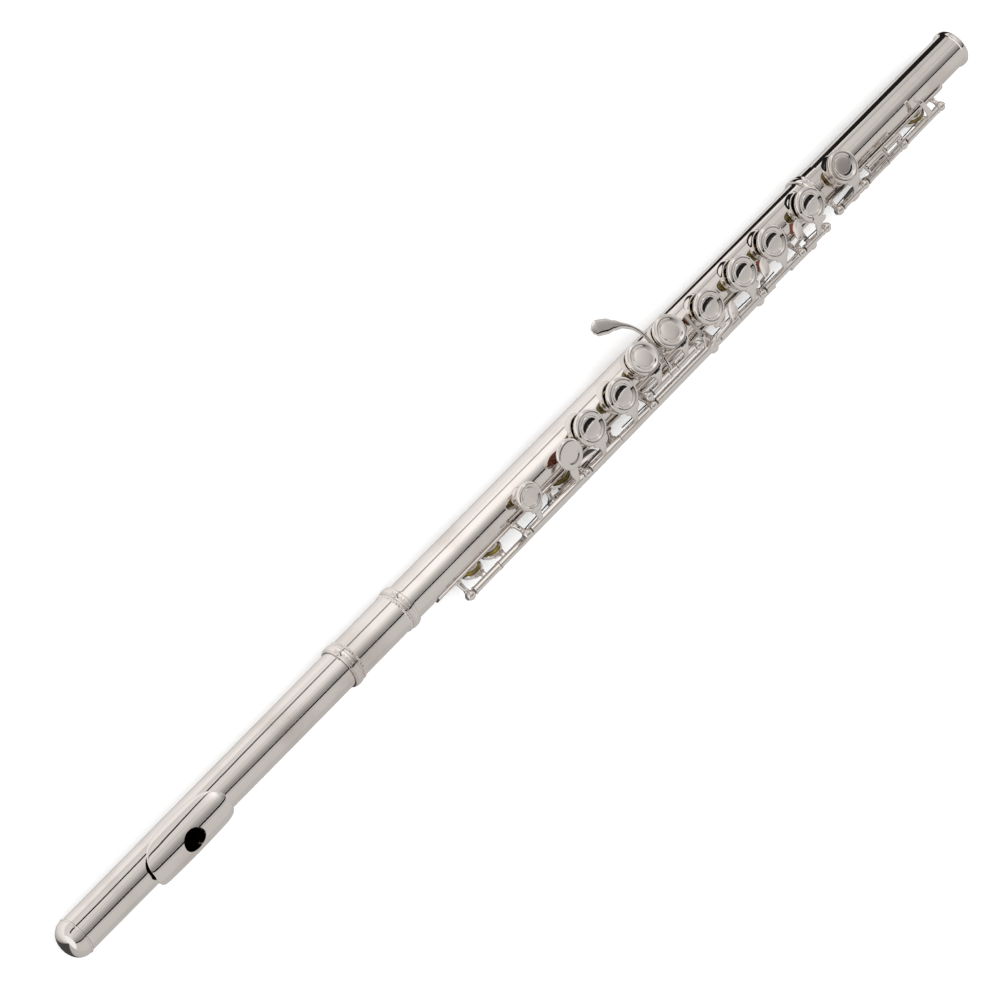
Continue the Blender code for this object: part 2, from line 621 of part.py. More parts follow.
def g_keys():
    """Both G cups on one pinned rod, and the G sharp lever that turns on it between them."""
    play = BALL_R + END_PLAY
    lever_half = 2.6
    holder = hinge("g", G_LINE, G_LEVER_X, LIFT)
    origin = on_line(G_LINE, G_LEVER_X)
    shapes = [rod(ROD_R, on_line(G_LINE, G_POSTS[0] - 2), on_line(G_LINE, G_POSTS[1] + 2)),
              sleeve(G_LINE, G_POSTS[0] + play, G_LEVER_X - lever_half - END_PLAY),
              sleeve(G_LINE, G_LEVER_X + lever_half + END_PLAY, G_POSTS[1] - play)]
    cuts = []
    for name in ("upper_g", "lower_g"):
        x, angle, hole, cup_r = HOLES[name]
        shapes.extend([cup_arm(G_LINE, x, angle, cup_r), cup(x, angle, cup_r)])
        cuts.append(pad_pocket(x, angle, pad_radius(hole)))
    finished("g_keys", shapes, cuts, parent=holder, origin=origin)
    pad("upper_g", holder, G_LINE, G_LEVER_X)
    pad("lower_g", holder, G_LINE, G_LEVER_X)

    holder = hinge("g_sharp", G_LINE, G_LEVER_X, 0.0)
    x, angle, hole, cup_r = HOLES["g_sharp"]
    lever = strap([on_line(G_LINE, G_LEVER_X), (G_LEVER_X, -5.0, 13.5), (G_LEVER_X, 2.0, 13.9),
                   (G_LEVER_X - 0.3, 11.0, 14.0), (G_LEVER_X - 3.2, 19.0, 14.6),
                   (G_LEVER_X - 7.5, 24.0, 15.0)], (1, 0, 0), [4.4, 1.8, 1.8, 2.0, 3.2, 5.0], LEVER_THICK)
    spatula = oval(17.5, 9.6, LEVER_THICK, flat(G_LEVER_X - 14.0, 27.8, 15.1, -28.0))
    sweep = [(0.0, 62.0, 13.6), (0.15, 84.0, 13.4), (0.5, 104.0, 14.2), (0.9, 117.0, 17.6)]
    way = [round_tube(a, r, G_LEVER_X + (x - G_LEVER_X) * f) for f, a, r in sweep]
    seat = RIM_R + GAP + PAD_THICK + GAP
    tip = facing_out(x, angle, seat + CUP_TOP * 0.4) @ Vector((0, cup_r * 0.7 * MM, 0)) / MM
    arm = strap([on_line(G_LINE, G_LEVER_X), *way, tip], (1, 0, 0), [4.4, 3.6, 3.6, 3.8, 4.6, 6.0], ARM_THICK)
    shapes = [sleeve(G_LINE, G_LEVER_X - lever_half, G_LEVER_X + lever_half), lever, spatula, arm,
              cup(x, angle, cup_r)]
    cuts = [rod_hole(G_LINE, G_LEVER_X - 5, G_LEVER_X + 5), pad_pocket(x, angle, pad_radius(hole))]
    finished("g_sharp_key", shapes, cuts, parent=holder, origin=origin)
    pad("g_sharp", holder, G_LINE, G_LEVER_X)


def right_hand_keys():
    """F sharp, F, E and D."""
    posts = MAIN_POSTS
    play = BALL_R + END_PLAY
    middle = (HOLES["f_sharp"][0] + HOLES["f"][0]) / 2
    simple_key("f_sharp", MAIN, posts[3] + play, middle - END_PLAY / 2, LIFT, arm_x=449.0)
    simple_key("f", MAIN, middle + END_PLAY / 2, posts[4] - play, LIFT, arm_x=472.0)
    simple_key("e", MAIN, posts[4] + play, posts[5] - play, LIFT)
    simple_key("d", MAIN, posts[5] + play, posts[6] - play, LIFT, arm_x=525.5)


def side_levers():
    """B flat shake, D trill and D sharp trill, with their oval touches."""
    play = BALL_R + END_PLAY
    x, y = BB_OVAL
    start, end = MAIN_POSTS[2] + play, MAIN_POSTS[3] - play
    holder = hinge("b_flat_shake", MAIN, end, 0.0)
    root = end - 3.0
    lever = strap([on_line(MAIN, root), (root + 0.4, -15.2, 14.0), (root + 4.0, -14.6, 16.9),
                   (x - 6.0, -14.2, TOUCH_Z), (x - 1.0, y - 0.4, TOUCH_Z - 0.2)], (0.8, 0.6, 0),
                  [4.6, 3.4, 2.6, 2.6, 2.6], LEVER_THICK)
    stop = strap([on_line(MAIN, root - 1), (root - 0.6, -11.0, 13.4), (root - 0.6, -3.0, 13.4),
                  (root - 0.6, 3.4, 13.0)], (1, 0, 0), [3.4, 2.4, 2.2, 2.2], 1.3)
    touch = oval(OVAL_LENGTH, OVAL_WIDTH, OVAL_THICK, flat(x, y, TOUCH_Z, OVAL_TURN))
    finished("b_flat_shake_lever", [sleeve(MAIN, start, end), lever, stop, touch],
             [rod_hole(MAIN, start, end)], parent=holder, origin=on_line(MAIN, end))

    for name, (x, y), tube in (("d_trill", D_OVAL, (277.4, 492.0)), ("d_sharp_trill", DS_OVAL, None)):
        hole_x, angle, hole, cup_r = HOLES[name]
        holder = hinge(name, TRILL, hole_x, 0.0)
        root = x + 2.0
        arm = strap([on_line(TRILL, root), (root, -14.0, 4.6), (root, -12.1, 8.6), (root, -10.6, 12.6),
                     (x + 0.6, y - 0.5, TOUCH_Z - 0.2)], (1, 0, 0), [5.0, 3.4, 2.6, 2.6, 2.8], LEVER_THICK)
        touch = oval(OVAL_LENGTH, OVAL_WIDTH, OVAL_THICK, flat(x, y, TOUCH_Z, OVAL_TURN))
        cup_shapes = [cup_arm(TRILL, hole_x, angle, cup_r), cup(hole_x, angle, cup_r)]
        cuts = [pad_pocket(hole_x, angle, pad_radius(hole))]
        if tube:
            shapes = [sleeve(TRILL, *tube)]
            cuts.append(rod_hole(TRILL, *tube))
        else:
            shapes = [rod(ROD_R, on_line(TRILL, TRILL_POSTS[0] - 2), on_line(TRILL, TRILL_POSTS[1] + 2)),
                      sleeve(TRILL, TRILL_POSTS[0] + play, 277.4 - END_PLAY),
                      sleeve(TRILL, 506.0, TRILL_POSTS[1] - play)]
        finished(name + "_key", [*shapes, arm, touch, *cup_shapes], cuts, parent=holder,
                 origin=on_line(TRILL, hole_x))
        pad(name, holder, TRILL, hole_x)


def thumb_keys():
    """The thumb's B key with its cup on the back, and the B flat lever beside it."""
    play = BALL_R + END_PLAY
    split = 351.0
    touch = oval(13.0, 10.0, OVAL_THICK, facing_out(341.5, 128.0, 21.6))
    touch_arm = strap([on_line(THUMB, 346.5), (346.5, -20.2, -7.6), round_tube(121.0, 21.4, 344.5)],
                      (1, 0, 0), [5.0, 5.0, 5.0], ARM_THICK)
    simple_key("thumb_b", THUMB, THUMB_POSTS[0] + play, split - END_PLAY / 2, -10.0, [touch, touch_arm])
    holder = hinge("thumb_b_flat", THUMB, 358.0, 0.0)
    plate = oval(14.0, 10.0, OVAL_THICK, facing_out(357.5, 128.0, 21.6))
    arm = strap([on_line(THUMB, 358.0), (358.0, -20.2, -7.6), round_tube(124.0, 21.4, 358.0)],
                (1, 0, 0), [5.0, 5.0, 6.0], ARM_THICK)
    finished("thumb_b_flat_lever", [sleeve(THUMB, split + END_PLAY / 2, THUMB_POSTS[1] - play), arm, plate],
             [rod_hole(THUMB, split, THUMB_POSTS[1])], parent=holder, origin=on_line(THUMB, 358.0))


def roller_cradle(x_from, x_to, width):
    """Two ears that hold a roller's pin, and the plate behind them."""
    plate_y, plate_z = ROLLER_Y - 3.4, ROLLER_Z + 0.6
    ears = []
    for at in (x_from - ROLLER_EAR / 2 - GAP, x_to + ROLLER_EAR / 2 + GAP):
        ears.append(strap([(at, plate_y, plate_z), (at, ROLLER_Y + 1.0, ROLLER_Z)], (1, 0, 0),
                          [ROLLER_EAR, ROLLER_EAR], 2.6))
    middle = (x_from + x_to) / 2
    plate = strap([(middle, plate_y - 0.6, plate_z), (middle, plate_y + 0.7, plate_z)], (1, 0, 0),
                  [width, width], LEVER_THICK)
    arm = strap([on_line(FOOT, middle), (middle, plate_y - 0.2, plate_z)], (1, 0, 0), [5.0, 5.0], ARM_THICK)
    pin = rod(ROLLER_PIN_R, (x_from - ROLLER_EAR, ROLLER_Y, ROLLER_Z), (x_to + ROLLER_EAR, ROLLER_Y, ROLLER_Z))
    return [plate, arm, pin, *ears]


def foot_keys():
    """D sharp on its own rod, then C sharp and C on a pinned rod, with their rollers."""
    play = BALL_R + END_PLAY
    posts = FOOT_POSTS
    x = HOLES["foot_d_sharp"][0]
    plate = oval(22.0, 9.0, OVAL_THICK, facing_out(574.0, 112.0, 19.6))
    arm = strap([on_line(FOOT, 564.6), (564.6, -19.2, 1.0), (566.0, -19.4, -4.0),
                 round_tube(112.0, 19.6, 569.0)], (1, 0, 0), [4.4, 4.4, 4.4, 5.0], ARM_THICK)
    simple_key("foot_d_sharp", FOOT, posts[0] + play, posts[1] - play, 0.0, [plate, arm])

    split = 588.5
    name = "foot_c_sharp"
    x, angle, hole, cup_r = HOLES[name]
    holder = hinge(name, FOOT, x, 0.0)
    width = C_SHARP_ROLLER[1] - C_SHARP_ROLLER[0] + 2 * (ROLLER_EAR + GAP)
    shapes = [sleeve(FOOT, posts[1] + play, split - END_PLAY / 2), *roller_cradle(*C_SHARP_ROLLER, width),
              cup_arm(FOOT, x, angle, cup_r, 584.0, 0.85), cup(x, angle, cup_r)]
    finished(name + "_key", shapes, [rod_hole(FOOT, posts[1], split), pad_pocket(x, angle, pad_radius(hole))],
             parent=holder, origin=on_line(FOOT, x))
    pad(name, holder, FOOT, x)
    roller("c_sharp_roller", C_SHARP_ROLLER, holder, on_line(FOOT, x))

    name = "foot_c"
    x, angle, hole, cup_r = HOLES[name]
    holder = hinge(name, FOOT, x, 0.0)
    width = C_ROLLER[1] - C_ROLLER[0] + 2 * (ROLLER_EAR + GAP)
    kick = strap([on_line(FOOT, 625.5), (624.6, -13.2, 11.6), (622.6, -6.0, 14.2), (621.4, -2.0, 13.6)],
                 (1, 0, 0), [5.0, 3.6, 2.6, 2.2], LEVER_THICK)
    shapes = [rod(ROD_R, on_line(FOOT, posts[1] + 0.2), on_line(FOOT, posts[3] + 2)),
              sleeve(FOOT, split + END_PLAY / 2, posts[2] - play), sleeve(FOOT, posts[2] + play, posts[3] - play),
              *roller_cradle(*C_ROLLER, width), kick, cup_arm(FOOT, x, angle, cup_r), cup(x, angle, cup_r)]
    finished(name + "_key", shapes, [pad_pocket(x, angle, pad_radius(hole))], parent=holder,
             origin=on_line(FOOT, x))
    pad(name, holder, FOOT, x)
    roller("c_roller", C_ROLLER, holder, on_line(FOOT, x))


def roller(name, span, parent, origin):
    """A roller on its pin."""
    place = Matrix.Translation((0, ROLLER_Y * MM, ROLLER_Z * MM)) @ along_tube()
    wheel = ring(ROLLER_PIN_R + GAP, ROLLER_R, span[0], span[1], place, 14)
    finished(name, [wheel], parent=parent, origin=origin)


# ---- the whole flute -------------------------------------------------------------------------------------
def stand_on_floor():
    """Put the middle of the flute's underside at the world's origin."""
    bpy.context.view_layer.update()
    corners = [part.matrix_world @ Vector(corner) for part in FLUTE.objects if part.type == "MESH"
               for corner in part.bound_box]
    low = Vector([min(c[i] for c in corners) for i in range(3)])
    high = Vector([max(c[i] for c in corners) for i in range(3)])
    ROOT.location = (-(low.x + high.x) / 2, -(low.y + high.y) / 2, -low.z)


def make_materials():
    """One plain material for each finish."""
    made = {}
    for name, (colour, roughness, metallic) in MATERIALS.items():
        material = bpy.data.materials.new(name)
        material.use_nodes = True
        shader = material.node_tree.nodes["Principled BSDF"]
        shader.inputs["Base Color"].default_value = colour
        shader.inputs["Roughness"].default_value = roughness
        shader.inputs["Metallic"].default_value = metallic
        made[name] = material
    return made


for old in list(bpy.data.objects):
    bpy.data.objects.remove(old)
FLUTE = bpy.data.collections.new("concert_flute")
SHAPES = bpy.data.collections.new("shapes")
bpy.context.scene.collection.children.link(FLUTE)
bpy.context.scene.collection.children.link(SHAPES)
ROOT = bpy.data.objects.new("flute", None)
FLUTE.objects.link(ROOT)
MATERIAL = make_materials()

crown()
stopper()
head_tube()
riser()
lip_plate()
barrel()
body_tube()
foot_tube()
frames()
left_hand_keys()
g_keys()
right_hand_keys()
side_levers()
thumb_keys()
foot_keys()
stand_on_floor()
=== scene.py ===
"""The looks of a concert flute: silver plated tubes and keywork, steels, pads and corks, in a pale studio.

Every shape is worked out in millimetres in the flute's own frame: X from the crown's tip to the foot, Z
through the main key cups and -Y towards the player, with the tube's middle line at Y = Z = 0.
"""
import json
import logging
import math
from dataclasses import dataclass, field
from enum import Enum
from typing import Callable, Iterable, Sequence

import bmesh
import bpy
from mathutils import Matrix, Vector


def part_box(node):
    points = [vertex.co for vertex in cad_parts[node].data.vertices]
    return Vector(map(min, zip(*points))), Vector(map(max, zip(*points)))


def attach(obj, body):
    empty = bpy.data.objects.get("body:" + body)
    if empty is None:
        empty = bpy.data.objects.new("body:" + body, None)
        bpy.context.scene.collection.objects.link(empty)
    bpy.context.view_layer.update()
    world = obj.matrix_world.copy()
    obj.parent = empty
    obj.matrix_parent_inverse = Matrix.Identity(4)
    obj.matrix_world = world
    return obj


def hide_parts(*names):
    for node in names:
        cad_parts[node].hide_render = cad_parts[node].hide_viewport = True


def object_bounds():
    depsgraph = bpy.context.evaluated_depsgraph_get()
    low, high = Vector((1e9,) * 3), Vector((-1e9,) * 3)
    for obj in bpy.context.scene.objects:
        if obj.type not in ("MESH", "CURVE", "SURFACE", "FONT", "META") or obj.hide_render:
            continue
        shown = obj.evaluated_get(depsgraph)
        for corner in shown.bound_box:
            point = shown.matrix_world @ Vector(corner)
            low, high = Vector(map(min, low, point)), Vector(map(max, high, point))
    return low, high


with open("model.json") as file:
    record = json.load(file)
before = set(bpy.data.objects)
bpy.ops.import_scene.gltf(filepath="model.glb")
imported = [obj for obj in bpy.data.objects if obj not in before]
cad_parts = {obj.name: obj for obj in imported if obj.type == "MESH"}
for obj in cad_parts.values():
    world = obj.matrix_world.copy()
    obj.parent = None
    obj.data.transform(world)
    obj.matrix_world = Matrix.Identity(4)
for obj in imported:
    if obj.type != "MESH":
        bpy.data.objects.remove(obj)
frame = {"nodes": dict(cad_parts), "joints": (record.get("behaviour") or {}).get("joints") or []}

LOG = logging.getLogger("flute")
MM = 0.001
CAD_BOX = [list(corner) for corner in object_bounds()]
Pair = tuple[float, float]
Point = Vector | Sequence[float]


# ---- the flute's own frame -------------------------------------------------------------------------------
def tube_origin() -> Vector:
    """The world place of the crown's tip on the tube's middle line.

    Returns:
        The place in metres.
    """
    low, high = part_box("head_tube")
    return Vector((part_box("crown")[0].x, (low.y + high.y) / 2, (low.z + high.z) / 2))


ORIGIN = tube_origin()


def hinge_line(joint: str) -> Vector:
    """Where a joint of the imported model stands, in the flute's frame.

    Args:
        joint: The joint's name.

    Returns:
        Its point in millimetres.
    """
    found = next(j for j in frame["joints"] if j["name"] == joint)
    return (Vector(found["pos_m"]) - ORIGIN) / MM


def around(angle: float, radius: float, x: float = 0.0) -> Vector:
    """A point round the tube.

    Args:
        angle: Degrees from +Z towards the rods.
        radius: Distance from the middle line.
        x: Station along the tube.

    Returns:
        The point in millimetres.
    """
    a = math.radians(angle)
    return Vector((x, -math.sin(a) * radius, math.cos(a) * radius))


def along(x: float = 0.0, y: float = 0.0, z: float = 0.0) -> Matrix:
    """A place whose local Z runs along the tube."""
    return Matrix.Translation((x, y, z)) @ Matrix.Rotation(math.radians(90), 4, "Y")


def standing(x: float, angle: float, radius: float = 0.0) -> Matrix:
    """A place on the tube whose local Z points out and whose local X runs along the tube."""
    return (Matrix.Translation((x, 0, 0)) @ Matrix.Rotation(math.radians(angle), 4, "X")
            @ Matrix.Translation((0, 0, radius)))


def turned_about(line: Vector, degrees: float) -> Matrix:
    """The turn that opens a key by some degrees about its hinge line."""
    return (Matrix.Translation(line) @ Matrix.Rotation(math.radians(degrees), 4, "X")
            @ Matrix.Translation(-line))


# ---- finishes --------------------------------------------------------------------------------------------
def linear(colour: str) -> tuple[float, float, float, float]:
    """An sRGB hex colour as linear red, green, blue and alpha.

    Args:
        colour: Six hex digits.

    Returns:
        Four linear values.
    """
    values = [int(colour[i:i + 2], 16) / 255 for i in (0, 2, 4)]
    parts = [v / 12.92 if v <= 0.04045 else ((v + 0.055) / 1.055) ** 2.4 for v in values]
    return (parts[0], parts[1], parts[2], 1.0)


def add_node(tree: bpy.types.NodeTree, kind: str, settings: dict, links: dict | None = None) -> bpy.types.Node:
    """Add one node with its settings and links.

    Args:
        tree: The node tree.
        kind: The node's type name.
        settings: Attribute names, or input names, with their values.
        links: Input names with the output sockets that feed them.

    Returns:
        The node.
    """
    node = tree.nodes.new(kind)
    for name, value in settings.items():
        if hasattr(node, name):
            setattr(node, name, value)
        else:
            node.inputs[name].default_value = value
    for name, socket in (links or {}).items():
        tree.links.new(socket, node.inputs[name])
    return node


def blank(name: str) -> tuple[bpy.types.Material, bpy.types.NodeTree, bpy.types.Node]:
    """A new material with only its shader.

    Args:
        name: The material's name.

    Returns:
        The material, its tree and its shader node.
    """
    material = bpy.data.materials.new(name)
    material.use_nodes = True
    return material, material.node_tree, material.node_tree.nodes["Principled BSDF"]


@dataclass(frozen=True)
class SilverPlate:
    """Nickel silver, buffed and silver plated: a near mirror, faintly warm, with a breath of handling haze."""

    name: str = "polished_silver_plate"
    colour: str = "F1ECE8"
    haze_colour: str = "E2DAD4"
    roughness: float = 0.045
    haze_roughness: float = 0.13
    haze_mm: float = 26.0      # patches left by fingers
    ripple_mm: float = 9.0     # the buffing wheel's soft unevenness
    ripple_depth: float = 0.0008

    def material(self) -> bpy.types.Material:
        """Build the node material.

        Returns:
            The material.
        """
        material, tree, shader = blank(self.name)
        place = add_node(tree, "ShaderNodeTexCoord", {})
        haze = add_node(tree, "ShaderNodeTexNoise", {"Scale": 1000 / self.haze_mm, "Detail": 4.0},
                        {"Vector": place.outputs["Object"]})
        band = add_node(tree, "ShaderNodeMapRange",
                        {"From Min": 0.5, "From Max": 0.75, "To Min": 0.0, "To Max": 1.0},
                        {"Value": haze.outputs["Fac"]})
        rough = add_node(tree, "ShaderNodeMapRange",
                         {"To Min": self.roughness, "To Max": self.haze_roughness},
                         {"Value": band.outputs["Result"]})
        tint = add_node(tree, "ShaderNodeValToRGB", {}, {"Fac": band.outputs["Result"]})
        tint.color_ramp.elements[0].color = linear(self.colour)
        tint.color_ramp.elements[1].color = linear(self.haze_colour)
        ripple = add_node(tree, "ShaderNodeTexNoise", {"Scale": 1000 / self.ripple_mm, "Detail": 1.0},
                          {"Vector": place.outputs["Object"]})
        bump = add_node(tree, "ShaderNodeBump", {"Strength": 0.25, "Distance": self.ripple_depth * 0.1},
                        {"Height": ripple.outputs["Fac"]})
        shader.inputs["Metallic"].default_value = 1.0
        tree.links.new(tint.outputs["Color"], shader.inputs["Base Color"])
        tree.links.new(rough.outputs["Result"], shader.inputs["Roughness"])
        tree.links.new(bump.outputs["Normal"], shader.inputs["Normal"])
        return material


@dataclass(frozen=True)
class DrawnSteel:
    """Steel drawn to rod or wire: greyer than the plate, with fine lines along it that soften its shine."""

    name: str = "drawn_steel"
    colour: str = "A9A6A4"
    roughness: float = 0.2
    line_mm: float = 0.35      # drawing lines, coarser than real ones so that they show

    def material(self) -> bpy.types.Material:
        """Build the node material.

        Returns:
            The material.
        """
        material, tree, shader = blank(self.name)
        place = add_node(tree, "ShaderNodeTexCoord", {})
        squeeze = add_node(tree, "ShaderNodeMapping", {"Scale": (0.02, 1.0, 1.0)},
                           {"Vector": place.outputs["Object"]})
        lines = add_node(tree, "ShaderNodeTexNoise", {"Scale": 1000 / self.line_mm, "Detail": 2.0},
                         {"Vector": squeeze.outputs["Vector"]})
        rough = add_node(tree, "ShaderNodeMapRange",
                         {"To Min": self.roughness * 0.7, "To Max": self.roughness * 1.4},
                         {"Value": lines.outputs["Fac"]})
        shader.inputs["Base Color"].default_value = linear(self.colour)
        shader.inputs["Metallic"].default_value = 1.0
        tree.links.new(rough.outputs["Result"], shader.inputs["Roughness"])
        return material


@dataclass(frozen=True)
class PadSkin:
    """Fish skin over felt: an olive gold membrane, satin, finely crinkled where it turns over the edge."""

    name: str = "pad_skin"
    colour: str = "8C7A2E"
    dark: str = "55491A"
    crinkle_mm: float = 0.6

    def material(self) -> bpy.types.Material:
        """Build the node material.

        Returns:
            The material.
        """
        material, tree, shader = blank(self.name)
        place = add_node(tree, "ShaderNodeTexCoord", {})
        crinkle = add_node(tree, "ShaderNodeTexNoise", {"Scale": 1000 / self.crinkle_mm, "Detail": 3.0},
                           {"Vector": place.outputs["Object"]})
        broad = add_node(tree, "ShaderNodeTexNoise", {"Scale": 220.0, "Detail": 2.0},
                         {"Vector": place.outputs["Object"]})
        tint = add_node(tree, "ShaderNodeValToRGB", {}, {"Fac": broad.outputs["Fac"]})
        tint.color_ramp.elements[0].position, tint.color_ramp.elements[1].position = 0.35, 0.65
        tint.color_ramp.elements[0].color = linear(self.dark)
        tint.color_ramp.elements[1].color = linear(self.colour)
        bump = add_node(tree, "ShaderNodeBump", {"Strength": 0.4, "Distance": 0.0001},
                        {"Height": crinkle.outputs["Fac"]})
        shader.inputs["Roughness"].default_value = 0.42
        shader.inputs["Sheen Weight"].default_value = 0.2
        tree.links.new(tint.outputs["Color"], shader.inputs["Base Color"])
        tree.links.new(bump.outputs["Normal"], shader.inputs["Normal"])
        return material


@dataclass(frozen=True)
class Cork:
    """Composition cork, sanded: red brown grains of mixed tone, dull and slightly pitted."""

    name: str = "sanded_cork"
    colour: str = "7E4128"
    dark: str = "47200F"
    grain_mm: float = 0.8

    def material(self) -> bpy.types.Material:
        """Build the node material.

        Returns:
            The material.
        """
        material, tree, shader = blank(self.name)
        place = add_node(tree, "ShaderNodeTexCoord", {})
        grain = add_node(tree, "ShaderNodeTexVoronoi", {"Scale": 1000 / self.grain_mm},
                         {"Vector": place.outputs["Object"]})
        speck = add_node(tree, "ShaderNodeTexNoise", {"Scale": 2400.0, "Detail": 3.0},
                         {"Vector": place.outputs["Object"]})
        tint = add_node(tree, "ShaderNodeValToRGB", {}, {"Fac": speck.outputs["Fac"]})
        tint.color_ramp.elements[0].position, tint.color_ramp.elements[1].position = 0.35, 0.7
        tint.color_ramp.elements[0].color = linear(self.dark)
        tint.color_ramp.elements[1].color = linear(self.colour)
        bump = add_node(tree, "ShaderNodeBump", {"Strength": 0.5, "Distance": 0.00015},
                        {"Height": grain.outputs["Distance"]})
        shader.inputs["Roughness"].default_value = 0.9
        tree.links.new(tint.outputs["Color"], shader.inputs["Base Color"])
        tree.links.new(bump.outputs["Normal"], shader.inputs["Normal"])
        return material


@dataclass(frozen=True)
class BluedSteel:
    """Spring steel, heat blued: a dark blue grey wire with a hard thin shine."""

    name: str = "blued_spring_steel"
    colour: str = "3A3F4C"

    def material(self) -> bpy.types.Material:
        """Build the node material.

        Returns:
            The material.
        """
        material, tree, shader = blank(self.name)
        place = add_node(tree, "ShaderNodeTexCoord", {})
        temper = add_node(tree, "ShaderNodeTexNoise", {"Scale": 300.0}, {"Vector": place.outputs["Object"]})
        rough = add_node(tree, "ShaderNodeMapRange", {"To Min": 0.18, "To Max": 0.32},
                         {"Value": temper.outputs["Fac"]})
        shader.inputs["Base Color"].default_value = linear(self.colour)
        shader.inputs["Metallic"].default_value = 1.0
        tree.links.new(rough.outputs["Result"], shader.inputs["Roughness"])
        return material


class Finish(Enum):
    """The finishes, each with a short name."""

    SILVER = "silver_plate"
    STEEL = "steel"
    PAD = "pad"
    CORK = "cork"
    SPRING = "spring"


RECIPES: dict[Finish, Callable[[], bpy.types.Material]] = {
    Finish.SILVER: lambda: SilverPlate().material(),
    Finish.STEEL: lambda: DrawnSteel().material(),
    Finish.PAD: lambda: PadSkin().material(),
    Finish.CORK: lambda: Cork().material(),
    Finish.SPRING: lambda: BluedSteel().material(),
}
MADE: dict[Finish, bpy.types.Material] = {}


def material_of(finish: Finish) -> bpy.types.Material:
    """The one material of a finish, made the first time it is asked for.

    Args:
        finish: Which finish.

    Returns:
        The material.
    """
    if finish not in MADE:
        MADE[finish] = RECIPES[finish]()
    return MADE[finish]


# ---- shapes ----------------------------------------------------------------------------------------------
def softened(profile: Sequence[Pair], times: int = 2) -> list[Pair]:
    """A profile with its corners cut again and again, its ends kept.

    Args:
        profile: Radius and height pairs.
        times: How often the corners are cut.

    Returns:
        The smoother profile.
    """
    points = list(profile)
    for _ in range(times):
        rounder = [points[0]]
        for (r0, h0), (r1, h1) in zip(points, points[1:]):
            rounder.append((r0 * 0.75 + r1 * 0.25, h0 * 0.75 + h1 * 0.25))
            rounder.append((r0 * 0.25 + r1 * 0.75, h0 * 0.25 + h1 * 0.75))
        rounder.append(points[-1])
        points = rounder
    return points


def flowing(points: Iterable[Point], widths: Sequence[float], each: int = 5) -> tuple[list[Vector], list[float]]:
    """A smooth path through points, with the widths carried along.

    Args:
        points: The path's corners.
        widths: One width a corner.
        each: Steps between two corners.

    Returns:
        The finer path and its widths.
    """
    corners = [Vector(p) for p in points]
    path: list[Vector] = []
    sizes: list[float] = []
    last = len(corners) - 1
    for i in range(last):
        p0, p1, p2, p3 = (corners[max(i - 1, 0)], corners[i], corners[i + 1], corners[min(i + 2, last)])
        for k in range(each):
            t = k / each
            path.append(0.5 * ((2 * p1) + (p2 - p0) * t + (2 * p0 - 5 * p1 + 4 * p2 - p3) * t ** 2
                               + (3 * p1 - p0 - 3 * p2 + p3) * t ** 3))
            ease = t * t * (3 - 2 * t)
            sizes.append(widths[i] * (1 - ease) + widths[i + 1] * ease)
    return [*path, corners[-1]], [*sizes, widths[-1]]


